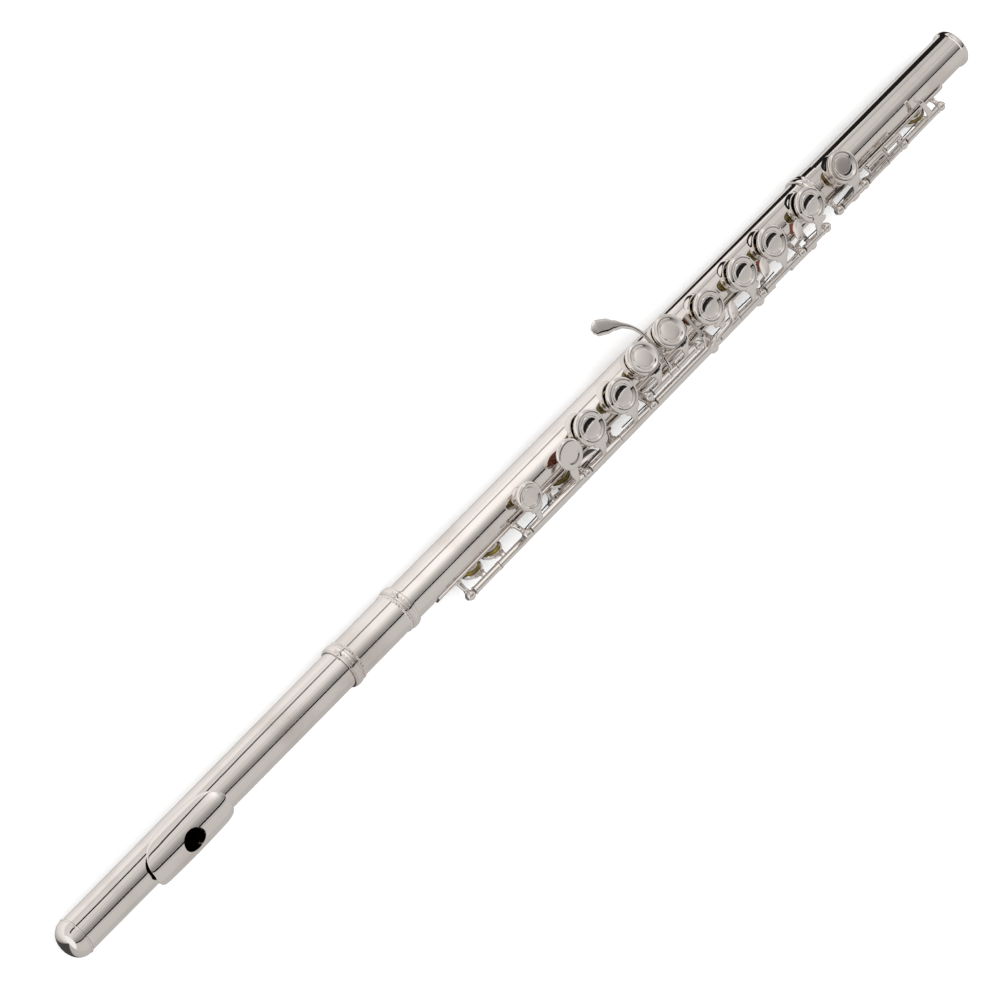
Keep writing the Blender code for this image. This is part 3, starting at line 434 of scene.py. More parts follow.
@dataclass
class Shape:
    """One piece's mesh, gathered from turned, lofted and round parts."""

    name: str
    finish: Finish = Finish.SILVER
    mesh: bmesh.types.BMesh = field(default_factory=bmesh.new)

    def skin(self, rings: Sequence[Sequence[Vector]], closed_path: bool = False, caps: bool = True) -> None:
        """Close a row of rings into a surface.

        Args:
            rings: Rings with the same number of points each.
            closed_path: Whether the last ring meets the first.
            caps: Whether both ends are closed.
        """
        rows = [[self.mesh.verts.new(p) for p in ring] for ring in rings]
        pairs = list(zip(rows, rows[1:]))
        if closed_path:
            pairs.append((rows[-1], rows[0]))
        made = []
        for one, two in pairs:
            count = len(one)
            for k in range(count):
                made.append(self.mesh.faces.new((one[k], one[(k + 1) % count], two[(k + 1) % count], two[k])))
        if caps and not closed_path:
            made.append(self.mesh.faces.new(rows[0]))
            made.append(self.mesh.faces.new(rows[-1]))
        bmesh.ops.recalc_face_normals(self.mesh, faces=made)

    def turned(self, profile: Sequence[Pair], place: Matrix, steps: int = 64, solid: bool = False) -> None:
        """Turn a profile about a place's local Z.

        Args:
            profile: Radius and height pairs; a closed ring unless `solid`.
            place: Where the turned piece stands.
            steps: Sides round the axis.
            solid: Whether the profile's ends lie near the axis and are capped.
        """
        rings = []
        for radius, height in profile:
            ring = []
            for k in range(steps):
                a = 2 * math.pi * k / steps
                ring.append(place @ Vector((max(radius, 0.01) * math.cos(a), max(radius, 0.01) * math.sin(a), height)))
            rings.append(ring)
        self.skin(rings, closed_path=not solid, caps=solid)

    def bar(self, points: Iterable[Point], across: Point, widths: Sequence[float], thick: float,
            each: int = 5, square: float = 3.0) -> None:
        """A bar along a smooth path, its section a rounded oblong.

        Args:
            points: The path's corners.
            across: The direction of the bar's width.
            widths: One width a corner.
            thick: The bar's thickness.
            each: Steps between two corners.
            square: How square the section is, 2 being an ellipse.
        """
        path, sizes = flowing(points, widths, each)
        side = Vector(across).normalized()
        rings = []
        for i, point in enumerate(path):
            before, after = path[max(i - 1, 0)], path[min(i + 1, len(path) - 1)]
            ahead = (after - before).normalized()
            wide = (side - ahead * side.dot(ahead)).normalized()
            up = ahead.cross(wide).normalized()
            ring = []
            for k in range(16):
                a = 2 * math.pi * (k + 0.5) / 16
                c, s = math.cos(a), math.sin(a)
                u = math.copysign(abs(c) ** (2 / square), c) * sizes[i] / 2
                v = math.copysign(abs(s) ** (2 / square), s) * min(thick, sizes[i]) / 2
                ring.append(point + wide * u + up * v)
            rings.append(ring)
        self.skin(rings)

    def rod(self, radius: float, start: Point, end: Point, steps: int = 24, soft: float = 0.25) -> None:
        """A round bar with softened ends.

        Args:
            radius: The bar's radius.
            start: One end.
            end: The other end.
            steps: Sides round the bar.
            soft: The rounding at the ends.
        """
        a, b = Vector(start), Vector(end)
        length = (b - a).length
        place = Matrix.Translation(a) @ (b - a).to_track_quat("Z", "Y").to_matrix().to_4x4()
        profile = [(radius - soft, 0), (radius - soft * 0.3, soft * 0.3), (radius, soft), (radius, length - soft),
                   (radius - soft * 0.3, length - soft * 0.3), (radius - soft, length)]
        self.turned(profile, place, steps, solid=True)

    def sleeve(self, line: Vector, start: float, end: float, outer: float = 2.1, inner: float = 1.3) -> None:
        """A hinge tube on a line, with a fine turned lip at each end.

        Args:
            line: A point on the hinge line.
            start: The low station.
            end: The high station.
            outer: Outside radius.
            inner: Bore radius.
        """
        place = along(start, line.y, line.z)
        length = end - start
        low = outer - 0.22
        profile = [(inner, 0), (outer - 0.15, 0), (outer, 0.15), (outer, 0.75), (low, 0.95), (low, length - 0.95),
                   (outer, length - 0.75), (outer, length - 0.15), (outer - 0.15, length), (inner, length)]
        self.turned(profile, place, 28)

    def ball(self, centre: Point, radius: float) -> None:
        """A sphere."""
        bmesh.ops.create_uvsphere(self.mesh, u_segments=28, v_segments=18, radius=radius,
                                  matrix=Matrix.Translation(Vector(centre)))

    def plate(self, place: Matrix, length: float, width: float, thick: float, pointed: float = 0.0,
              dome: float = 0.35) -> None:
        """A pointed oval touch plate with a soft dome and a rounded edge.

        Args:
            place: Its middle; local X is its length and Z its top.
            length: Its length.
            width: Its width.
            thick: Its thickness.
            pointed: How pointed the ends are, from 0 for an ellipse to 1.
            dome: How far the middle stands above the edge.
        """
        steps = 48
        levels = [(0.0, -0.5), (0.9, -0.5), (0.985, -0.3), (1.0, 0.0), (0.985, 0.26), (0.9, 0.5)]
        rings = []
        for share, height in levels[1:] + [(0.6, 0.5), (0.25, 0.5)]:
            ring = []
            for k in range(steps):
                a = 2 * math.pi * k / steps
                c, s = math.cos(a), math.sin(a)
                slim = abs(s) ** (1.0 + pointed * 0.8) * math.copysign(1, s)
                lift = dome * max(0.0, 1 - share ** 2) if height > 0.3 else 0.0
                ring.append(place @ Vector((share * c * length / 2, share * slim * width / 2,
                                            height * thick + lift)))
            rings.append(ring)
        self.skin(rings)

    def block(self, place: Matrix, size: Sequence[float], soft: float = 0.3) -> None:
        """A small block with rounded edges.

        Args:
            place: Its middle.
            size: Its three sizes.
            soft: The rounding.
        """
        made = bmesh.ops.create_cube(self.mesh, size=1.0, matrix=place @ Matrix.Diagonal((*size, 1.0)))
        edges = {e for v in made["verts"] for e in v.link_edges}
        bmesh.ops.bevel(self.mesh, geom=list(edges), offset=soft, segments=2, affect="EDGES", profile=0.6)

    def moved(self, turn: Matrix) -> "Shape":
        """Turn everything gathered so far, and return the shape."""
        self.mesh.transform(turn)
        return self

    def finished(self, body: str, replaces: Sequence[str] = (), sharp: float = 40.0) -> bpy.types.Object:
        """Make the piece's object, dress it and let it ride.

        Args:
            body: The body that it moves with.
            replaces: The nodes that it stands for.
            sharp: Edges steeper than this many degrees stay crisp.

        Returns:
            The object.
        """
        self.mesh.transform(Matrix.Translation(ORIGIN) @ Matrix.Scale(MM, 4))
        data = bpy.data.meshes.new(self.name)
        self.mesh.to_mesh(data)
        self.mesh.free()
        piece = bpy.data.objects.new(self.name, data)
        bpy.context.scene.collection.objects.link(piece)
        data.materials.append(material_of(self.finish))
        data.shade_smooth()
        data.set_sharp_from_angle(angle=math.radians(sharp))
        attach(piece, body)
        if replaces:
            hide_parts(*replaces)
        LOG.info("%s rides on %s", self.name, body)
        return piece


def cut(piece: bpy.types.Object, cutters: Sequence[Shape]) -> None:
    """Cut holes through a piece and leave its mesh plain.

    Args:
        piece: The piece, already in place.
        cutters: Solids in the flute's frame; they are used up.
    """
    for cutter in cutters:
        cutter.mesh.transform(Matrix.Translation(ORIGIN) @ Matrix.Scale(MM, 4))
        data = bpy.data.meshes.new("cutter")
        cutter.mesh.to_mesh(data)
        cutter.mesh.free()
        tool = bpy.data.objects.new("cutter", data)
        bpy.context.scene.collection.objects.link(tool)
        step = piece.modifiers.new("hole", "BOOLEAN")
        step.operation, step.object = "DIFFERENCE", tool
        bpy.context.view_layer.update()
        evaluated = piece.evaluated_get(bpy.context.evaluated_depsgraph_get())
        fresh = bpy.data.meshes.new_from_object(evaluated)
        piece.modifiers.clear()
        old, piece.data = piece.data, fresh
        fresh.name = piece.name
        bpy.data.meshes.remove(old)
        bpy.data.objects.remove(tool)
    piece.data.shade_smooth()
    piece.data.set_sharp_from_angle(angle=math.radians(32))


# ---- head joint ------------------------------------------------------------------------------------------
@dataclass
class HeadJoint:
    """The head: crown, tapered tube, riser and lip plate."""

    crown_end: float = 9.0
    tube_end: float = 216.0
    taper_end: float = 175.0
    crown_r: float = 9.4
    tenon_r: float = 9.85
    wall: float = 0.4
    mouth_x: float = 73.5
    mouth_angle: float = 21.0
    mouth_length: float = 12.2
    mouth_width: float = 10.4
    plate_length: float = 49.0
    plate_arc: float = 150.0
    plate_r: float = 14.2
    plate_drop: float = 3.0
    plate_thick: float = 1.1

    def mouth(self, grow: float, low: float = 4.0, high: float = 20.0) -> Shape:
        """The embouchure's oval as a cutter, `grow` wider all round.

        Args:
            grow: How much wider than the oval, all round.
            low: Radius where the cutter starts.
            high: Radius where it ends.

        Returns:
            The cutter.
        """
        cutter = Shape("mouth")
        rings = []
        for radius in (low, high):
            place = standing(self.mouth_x, self.mouth_angle, radius)
            rings.append([place @ Vector(((self.mouth_length / 2 + grow) * math.cos(2 * math.pi * k / 72),
                                          (self.mouth_width / 2 + grow) * math.sin(2 * math.pi * k / 72), 0))
                          for k in range(72)])
        cutter.skin(rings)
        return cutter

    def tube(self) -> None:
        """The tapered tube with its opening under the riser."""
        start = self.crown_end + 0.3
        shape = Shape("head_tube_surface")
        profile = [(self.crown_r, start), (self.tenon_r, self.taper_end), (self.tenon_r, self.tube_end),
                   (self.tenon_r - self.wall, self.tube_end), (self.tenon_r - self.wall, self.taper_end),
                   (self.crown_r - self.wall, start)]
        shape.turned(profile, along(), 128)
        piece = shape.finished("head", ["head_tube"])
        cut(piece, [self.mouth(1.5)])

    def crown(self) -> None:
        """The spun dome with a fine raised line at its seam."""
        shape = Shape("crown_surface")
        end = self.crown_end
        profile = [(9.62 * math.sin(math.radians(t)) ** 0.92, 7.6 * (1 - math.cos(math.radians(t))))
                   for t in range(0, 91, 6)]
        profile += [(9.62, 7.75), (9.5, 7.85), (9.5, 8.05), (9.85, 8.2), (9.92, 8.45), (9.85, 8.75), (9.6, 8.85),
                    (9.6, end),
                    (8.85, end), (8.85, end + 9), (0.0, end + 9)]
        shape.turned(profile, along(), 96, solid=True)
        shape.finished("crown", ["crown"])

    def riser(self) -> None:
        """The chimney's wall, curved to meet the plate."""
        shape = Shape("embouchure_riser_surface")
        rings = []
        for grow, low in ((1.2, True), (1.2, False), (0.0, False), (0.0, True)):
            ring = []
            for k in range(72):
                a = 2 * math.pi * k / 72
                u = (self.mouth_width / 2 + grow) * math.sin(a)
                radius = 9.2 if low else 12.75
                height = math.sqrt(max(radius ** 2 - u ** 2, 1.0))
                ring.append(standing(self.mouth_x, self.mouth_angle, height)
                            @ Vector(((self.mouth_length / 2 + grow) * math.cos(a), u, 0)))
            rings.append(ring)
        shape.skin(rings, closed_path=True)
        shape.finished("head", ["embouchure_riser"])

    def plate_point(self, across: float, turn: float, sink: float = 0.0) -> Vector:
        """A point on the lip plate.

        Args:
            across: -1 to 1 along the tube.
            turn: -1 to 1 round the tube.
            sink: How far under the plate's top.

        Returns:
            The point.
        """
        reach = math.sqrt(max(1.0 - abs(across) ** 2.5, 0.0)) * 0.9 + 0.1
        angle = self.mouth_angle + turn * reach * self.plate_arc / 2
        radius = self.plate_r - self.plate_drop * (turn * reach) ** 2 - sink
        radius -= 0.5 * across ** 2 + 0.7 * abs(across) ** 9
        return around(angle, radius, self.mouth_x + across * self.plate_length / 2)

    def lip_plate(self) -> None:
        """The curved plate, its rim rolled over and its hole's edge eased."""
        shape = Shape("lip_plate_surface")
        rows, turns = 56, 64
        arcs = [-math.cos(math.pi * j / turns) for j in range(turns + 1)]
        rings = []
        for across in (-math.cos(math.pi * i / rows) for i in range(rows + 1)):
            ring = []
            for turn in arcs:
                edge = max(abs(across), abs(turn))
                ring.append(self.plate_point(across, turn, 0.35 * edge ** 24))
            for turn in reversed(arcs):
                ring.append(self.plate_point(across * 0.992, turn * 0.99, self.plate_thick - 0.15))
            rings.append(ring)
        shape.skin(rings)
        piece = shape.finished("head", ["lip_plate"])
        cut(piece, [self.mouth(0.0)])
        soft = piece.modifiers.new("eased edge", "BEVEL")
        soft.width, soft.segments, soft.limit_method = 0.3 * MM, 3, "ANGLE"
        soft.angle_limit = math.radians(50)

    def build(self) -> None:
        """Build the whole head joint."""
        self.tube()
        self.crown()
        self.riser()
        self.lip_plate()


# ---- barrel, body and foot tubes -------------------------------------------------------------------------
@dataclass
class ToneHole:
    """A drawn or soldered tone hole."""

    x: float
    angle: float
    radius: float
    rim: float = 12.2

    def add_wall(self, shape: Shape) -> None:
        """Add the chimney's wall, its rim rolled, to a tube's shape.

        Args:
            shape: The shape to add it to.
        """
        r, top = self.radius, self.rim
        profile = [(r + 0.05, 7.4), (r + 1.5, 7.4), (r + 0.9, 9.9), (r + 0.55, 10.8), (r + 0.5, top - 0.5),
                   (r + 0.7, top - 0.2), (r + 0.55, top), (r + 0.2, top), (r + 0.05, top - 0.25)]
        if r < 5:
            profile[1] = (r + 0.9, 8.2)
            profile[0] = (r + 0.05, 8.2)
        shape.turned(profile, standing(self.x, self.angle), 56)

    def cutter(self) -> Shape:
        """The hole through the tube.

        Returns:
            The cutter.
        """
        shape = Shape("tone_hole")
        shape.turned([(self.radius + 0.1, 4.0), (self.radius + 0.1, 12.0)], standing(self.x, self.angle), 56,
                     solid=True)
        return shape


@dataclass
class Tubes:
    """Barrel, body tube and foot tube."""

    tube_r: float = 9.9
    bore_r: float = 9.5
    body_start: float = 218.0
    body_shoulder: float = 538.7
    body_end: float = 553.7
    foot_start: float = 539.0
    foot_end: float = 670.0
    barrel_start: float = 183.0
    barrel_end: float = 228.0
    body_holes: list[ToneHole] = field(default_factory=list)
    foot_holes: list[ToneHole] = field(default_factory=list)

    @staticmethod
    def ring(start: float, width: float, big: float, small: float) -> list[Pair]:
        """A turned ring's outline: a rounded band between two thin fillets.

        Args:
            start: Station where it starts.
            width: Length along the flute.
            big: Radius of the rounded band.
            small: Radius of the tube beside it.

        Returns:
            The outline, station and radius.
        """
        e = start + width
        return [(small, start), (big - 0.55, start), (big - 0.35, start + 0.12), (big - 0.35, start + 0.5),
                (big - 0.6, start + 0.68), (big - 0.1, start + 0.95), (big, start + 1.4), (big, e - 1.4),
                (big - 0.1, e - 0.95), (big - 0.6, e - 0.68), (big - 0.35, e - 0.5), (big - 0.35, e - 0.12),
                (big - 0.55, e), (small, e)]

    def barrel(self) -> None:
        """The barrel with its two rings and its rope band."""
        shape = Shape("barrel_surface")
        a, b, r = self.barrel_start, self.barrel_end, 10.45
        profile = [(10.08, a), *self.ring(a, 4.8, 11.45, r)[1:], (r, a + 4.85), (r, b - 4.85),
                   *self.ring(b - 4.8, 4.8, 11.45, r)[:-1], (10.08, b)]
        shape.turned(profile, along(), 128)
        for station, base in ((a + 6.1, r + 0.05), (b - 6.1, r + 0.05), (a + 2.4, 10.95), (b - 2.4, 10.95)):
            self.rope(shape, station, base)
        shape.finished("body", ["barrel"])

    @staticmethod
    def rope(shape: Shape, station: float, base: float, lobes: int = 40) -> None:
        """Add a twisted wire round the barrel.

        Args:
            shape: The barrel's shape.
            station: The wire's station.
            base: The radius of its middle line.
            lobes: How many turns of the twist go round.
        """
        rings = []
        for k in range(lobes * 10):
            a = 2 * math.pi * k / (lobes * 10)
            ring = []
            for j in range(10):
                s = 2 * math.pi * j / 10
                swell = 0.5 + 0.13 * math.cos(lobes * a + s)
                ring.append(around(math.degrees(a), base + swell * math.cos(s), station + 1.3 * swell * math.sin(s)))
            rings.append(ring)
        shape.skin(rings, closed_path=True)

    def body(self) -> None:
        """The body tube with its tone holes."""
        shape = Shape("body_tube_surface")
        profile = [(self.tube_r, self.body_start), (self.tube_r, self.body_shoulder), (9.6, self.body_shoulder),
                   (9.6, self.body_end), (9.25, self.body_end), (9.25, self.body_shoulder),
                   (self.bore_r, self.body_shoulder - 1), (self.bore_r, self.body_start)]
        shape.turned(profile, along(), 160)
        piece = shape.finished("body", ["body_tube"])
        cut(piece, [hole.cutter() for hole in self.body_holes])
        walls = Shape("body_tone_holes")
        for hole in self.body_holes:
            hole.add_wall(walls)
        walls.finished("body")

    def foot(self) -> None:
        """The foot tube: socket ring and fillets, tone holes and end ring."""
        shape = Shape("foot_tube_surface")
        s, e, r = self.foot_start, self.foot_end, self.tube_r
        profile = [(9.78, s), (10.7, s), (11.1, s + 0.2), (11.3, s + 0.75), (11.3, s + 2.4), (11.1, s + 2.95),
                   (10.7, s + 3.1), (10.35, s + 3.3), (10.3, s + 4.2), (10.6, s + 4.4), (10.85, s + 4.8),
                   (10.85, s + 5.2), (10.6, s + 5.6), (10.25, s + 5.8), (10.2, s + 6.2), (10.2, s + 13.6),
                   (10.05, s + 14.4), (r, s + 15), (r, e - 3.3), (r + 0.35, e - 3.05), (r + 0.6, e - 2.9),
                   (r + 0.85, e - 2.5), (r + 0.95, e - 1.9), (r + 0.95, e - 1.1), (r + 0.85, e - 0.5),
                   (r + 0.55, e - 0.08), (r + 0.3, e), (9.65, e), (9.5, e - 0.2), (9.5, s + 15.3),
                   (9.78, s + 15.2)]
        shape.turned(profile, along(), 160)
        piece = shape.finished("foot", ["foot_tube"])
        cut(piece, [hole.cutter() for hole in self.foot_holes])
        walls = Shape("foot_tone_holes")
        for hole in self.foot_holes:
            hole.add_wall(walls)
        walls.finished("foot")

    def build(self) -> None:
        """Build the barrel, the body and the foot."""
        self.barrel()
        self.body()
        self.foot()


# ---- ribs, posts and rods --------------------------------------------------------------------------------
@dataclass
class PostRow:
    """Posts on one hinge line."""

    line: Vector
    stations: Sequence[float]
    foot_angle: float
    ball_r: float = 2.6
    screws: Sequence[int] = (0, -1)     # the posts that show a pivot screw's head

    def add(self, shape: Shape) -> None:
        """Add the turned columns and balls to a rib's shape.

        Args:
            shape: The shape to add it to.
        """
        for x in self.stations:
            foot = around(self.foot_angle, 10.6, x)
            head = Vector((x, self.line.y, self.line.z))
            length = (head - foot).length
            place = Matrix.Translation(foot) @ (head - foot).to_track_quat("Z", "Y").to_matrix().to_4x4()
            neck = length - self.ball_r
            profile = softened([(2.2, 0.0), (2.2, 0.5), (1.7, 0.8), (1.45, 1.4), (1.2, neck * 0.6), (1.15, neck - 0.6),
                                (1.5, neck - 0.2), (1.3, neck + 0.5), (0.6, length)], 1)
            shape.turned([(0.05, 0.0), *profile], place, 24, solid=True)
            shape.ball(head, self.ball_r)

    def add_screws(self, shape: Shape) -> None:
        """Add the slotted screw heads at the row's two ends.

        Args:
            shape: The shape to add it to.
        """
        for index in self.screws:
            x = self.stations[index]
            side = -1.0 if index == 0 else 1.0
            out = x + side * (self.ball_r + 0.05)
            inner = x + side * (self.ball_r - 0.7)
            line = self.line
            shape.rod(1.25, (inner, line.y, line.z), (out, line.y, line.z), 24, 0.2)
            slot = Matrix.Translation((out, line.y, line.z)) @ Matrix.Rotation(math.radians(35), 4, "X")
            shape.block(slot, (0.12, 2.1, 0.35), 0.03)


@dataclass
class Rib:
    """A strap along the tube that carries posts."""

    name: str
    node: str
    body: str
    start: float
    end: float
    rows: Sequence[PostRow]
    angles: Pair = (58.0, 88.0)
    inner: float = 10.05
    thick: float = 0.9

    def build(self) -> None:
        """Build the strap with rounded ends, its posts and their screws."""
        shape = Shape(self.name)
        steps = 90
        rings = []
        middle, half = sum(self.angles) / 2, (self.angles[1] - self.angles[0]) / 2
        for i in range(steps + 1):
            x = self.start + (self.end - self.start) * i / steps
            rings.append(self.section(x, middle, half))
        for k in range(1, 6):
            share = math.cos(math.radians(k * 16))
            reach = 2.4 * math.sin(math.radians(k * 16))
            rings.append(self.section(self.end + reach - 2.4, middle, half * share))
        shape.skin(rings)
        for row in self.rows:
            row.add(shape)
        shape.finished(self.body, [self.node])
        screws = Shape(self.name + "_screws", Finish.STEEL)
        for row in self.rows:
            row.add_screws(screws)
        screws.finished(self.body)

    def section(self, x: float, middle: float, half: float) -> list[Vector]:
        """The strap's rounded section at a station.

        Args:
            x: The station.
            middle: The section's middle angle.
            half: Half its spread in degrees.

        Returns:
            Its outline.
        """
        outline = []
        for j in range(9):
            share = -1 + 2 * j / 8
            drop = 0.35 * abs(share) ** 6
            outline.append(around(middle + half * share, self.inner + self.thick - drop, x))
        for j in range(9):
            share = 1 - 2 * j / 8
            outline.append(around(middle + half * share, self.inner, x))
        return outline


# ---- keys ------------------------------------------------------------------------------------------------
SEAT = 14.9                # underside of a cup's roof, from the tube's middle, when the key is shut
ROOF = 1.3                 # the roof's thickness in the model


@dataclass
class Cup:
    """A closed key cup."""

    x: float
    angle: float
    radius: float
    pad_r: float

    def place(self) -> Matrix:
        """Where the cup stands when it is shut."""
        return standing(self.x, self.angle)

    def add(self, shape: Shape) -> None:
        """Add the spun cup: a rolled rim, a groove, a fine bead and a softly domed middle.

        Args:
            shape: The shape to add it to.
        """
        top, r = SEAT + ROOF, self.radius
        k = r / 9.0
        outer = [(0.0, top - 0.34), (1.6 * k, top - 0.35), (3.2 * k, top - 0.39), (4.5 * k, top - 0.46),
                 (4.9 * k, top - 0.52),
                 (5.1 * k, top - 0.3), (5.4 * k, top - 0.24), (5.65 * k, top - 0.42), (5.8 * k, top - 0.62),
                 (6.1 * k, top - 0.5), (6.6 * k, top - 0.14), (7.3 * k, top), (8.0 * k, top - 0.12),
                 (8.6 * k, top - 0.5),
                 (r - 0.08, top - 1.05), (r, top - 1.7), (r - 0.02, top - 2.5), (r - 0.16, top - 2.78)]
        inner = [(r - 0.4, top - 2.72), (r - 0.46, top - 1.5), (r - 0.6, top - 1.32), (0.0, top - 1.3)]
        shape.turned([*outer, *inner], self.place(), 96, solid=True)

    def add_pad(self, shape: Shape) -> None:
        """Add the pad: a rounded disc, slightly pressed where it meets the rim.

        Args:
            shape: The shape to add it to.
        """
        r, low, high = self.pad_r, 12.5, 14.6
        profile = [(0.0, high), (r - 0.1, high), (r, high - 0.2), (r, low + 0.5), (r - 0.25, low + 0.12),
                   (r - 0.7, low),
                   (r - 1.5, low + 0.06), (0.0, low + 0.06)]
        shape.turned(profile, self.place(), 72, solid=True)

    def reach(self, line: Vector) -> float:
        """Which way along the cup's local Y its arm comes in: 1 or -1."""
        return math.copysign(1.0, self.angle - math.degrees(math.atan2(-line.y, line.z)))

    def add_arm(self, shape: Shape, line: Vector, root_x: float, lean: float = 0.5) -> None:
        """Add the arm, broad where it leaves the cup and narrow at the hinge tube.

        Args:
            shape: The key's shape.
            line: The hinge line.
            root_x: The arm's station on the hinge.
            lean: How much of the arm's slant is taken at its knee.
        """
        way, place, top = self.reach(line), self.place(), SEAT + ROOF
        tip = place @ Vector((0, way * self.radius * 0.8, top - 0.55))
        rim = place @ Vector((0, way * (self.radius - 0.1), top - 0.95))
        knee = place @ Vector((0, way * (self.radius + 1.9), top - 1.85))
        rim.x += (root_x - self.x) * lean * 0.5
        knee.x = self.x + (root_x - self.x) * lean
        root = Vector((root_x, line.y, line.z))
        rise = root + (knee - root) * 0.45 + (knee - Vector((knee.x, 0, 0))).normalized() * 0.5
        wide = self.radius * 1.05
        shape.bar([root, rise, knee, rim, tip], (1, 0, 0), [3.0, 2.7, wide * 0.5, wide * 0.98, wide * 1.0], 1.35, 6,
                  3.4)


@dataclass
class Key:
    """One key: its body, its cups, its hinge tubes and whatever is added."""

    body: str
    node: str
    joint: str
    opening: float
    cups: Sequence[Cup] = ()
    pads: Sequence[str] = ()
    sleeves: Sequence[Pair] = ()
    roots: Sequence[float] = ()
    steel: Pair | None = None
    lean: float = 0.5
    extra: Callable[[Shape, Vector], None] | None = None
    corks: Callable[[Shape, Vector], None] | None = None

    def build(self) -> None:
        """Build the key with its pads, corks and steel."""
        line = hinge_line(self.joint)
        turn = turned_about(line, self.opening)
        shape = Shape(self.node + "_surface")
        for start, end in self.sleeves:
            shape.sleeve(line, start, end)
        for i, one in enumerate(self.cups):
            one.add(shape)
            one.add_arm(shape, line, self.roots[i] if self.roots else one.x, self.lean)
        if self.extra:
            self.extra(shape, line)
        shape.moved(turn).finished(self.body, [self.node])
        for one, node in zip(self.cups, self.pads):
            pad = Shape(node + "_surface", Finish.PAD)
            one.add_pad(pad)
            pad.moved(turn).finished(self.body, [node])
        if self.corks:
            cork = Shape(self.node + "_corks", Finish.CORK)
            self.corks(cork, line)
            cork.moved(turn).finished(self.body)
        if self.steel:
            rod = Shape(self.node + "_steel", Finish.STEEL)
            rod.rod(1.0, (self.steel[0], line.y, line.z), (self.steel[1], line.y, line.z))
            rod.moved(turn).finished(self.body)


def flat(x: float, y: float, z: float, turn: float = 0.0, tip: float = 0.0, bank: float = 0.0) -> Matrix:
    """A level place turned about Z, then tipped across and banked along the tube."""
    return (Matrix.Translation((x, y, z)) @ Matrix.Rotation(math.radians(tip), 4, "X")
            @ Matrix.Rotation(math.radians(bank), 4, "Y") @ Matrix.Rotation(math.radians(turn), 4, "Z"))


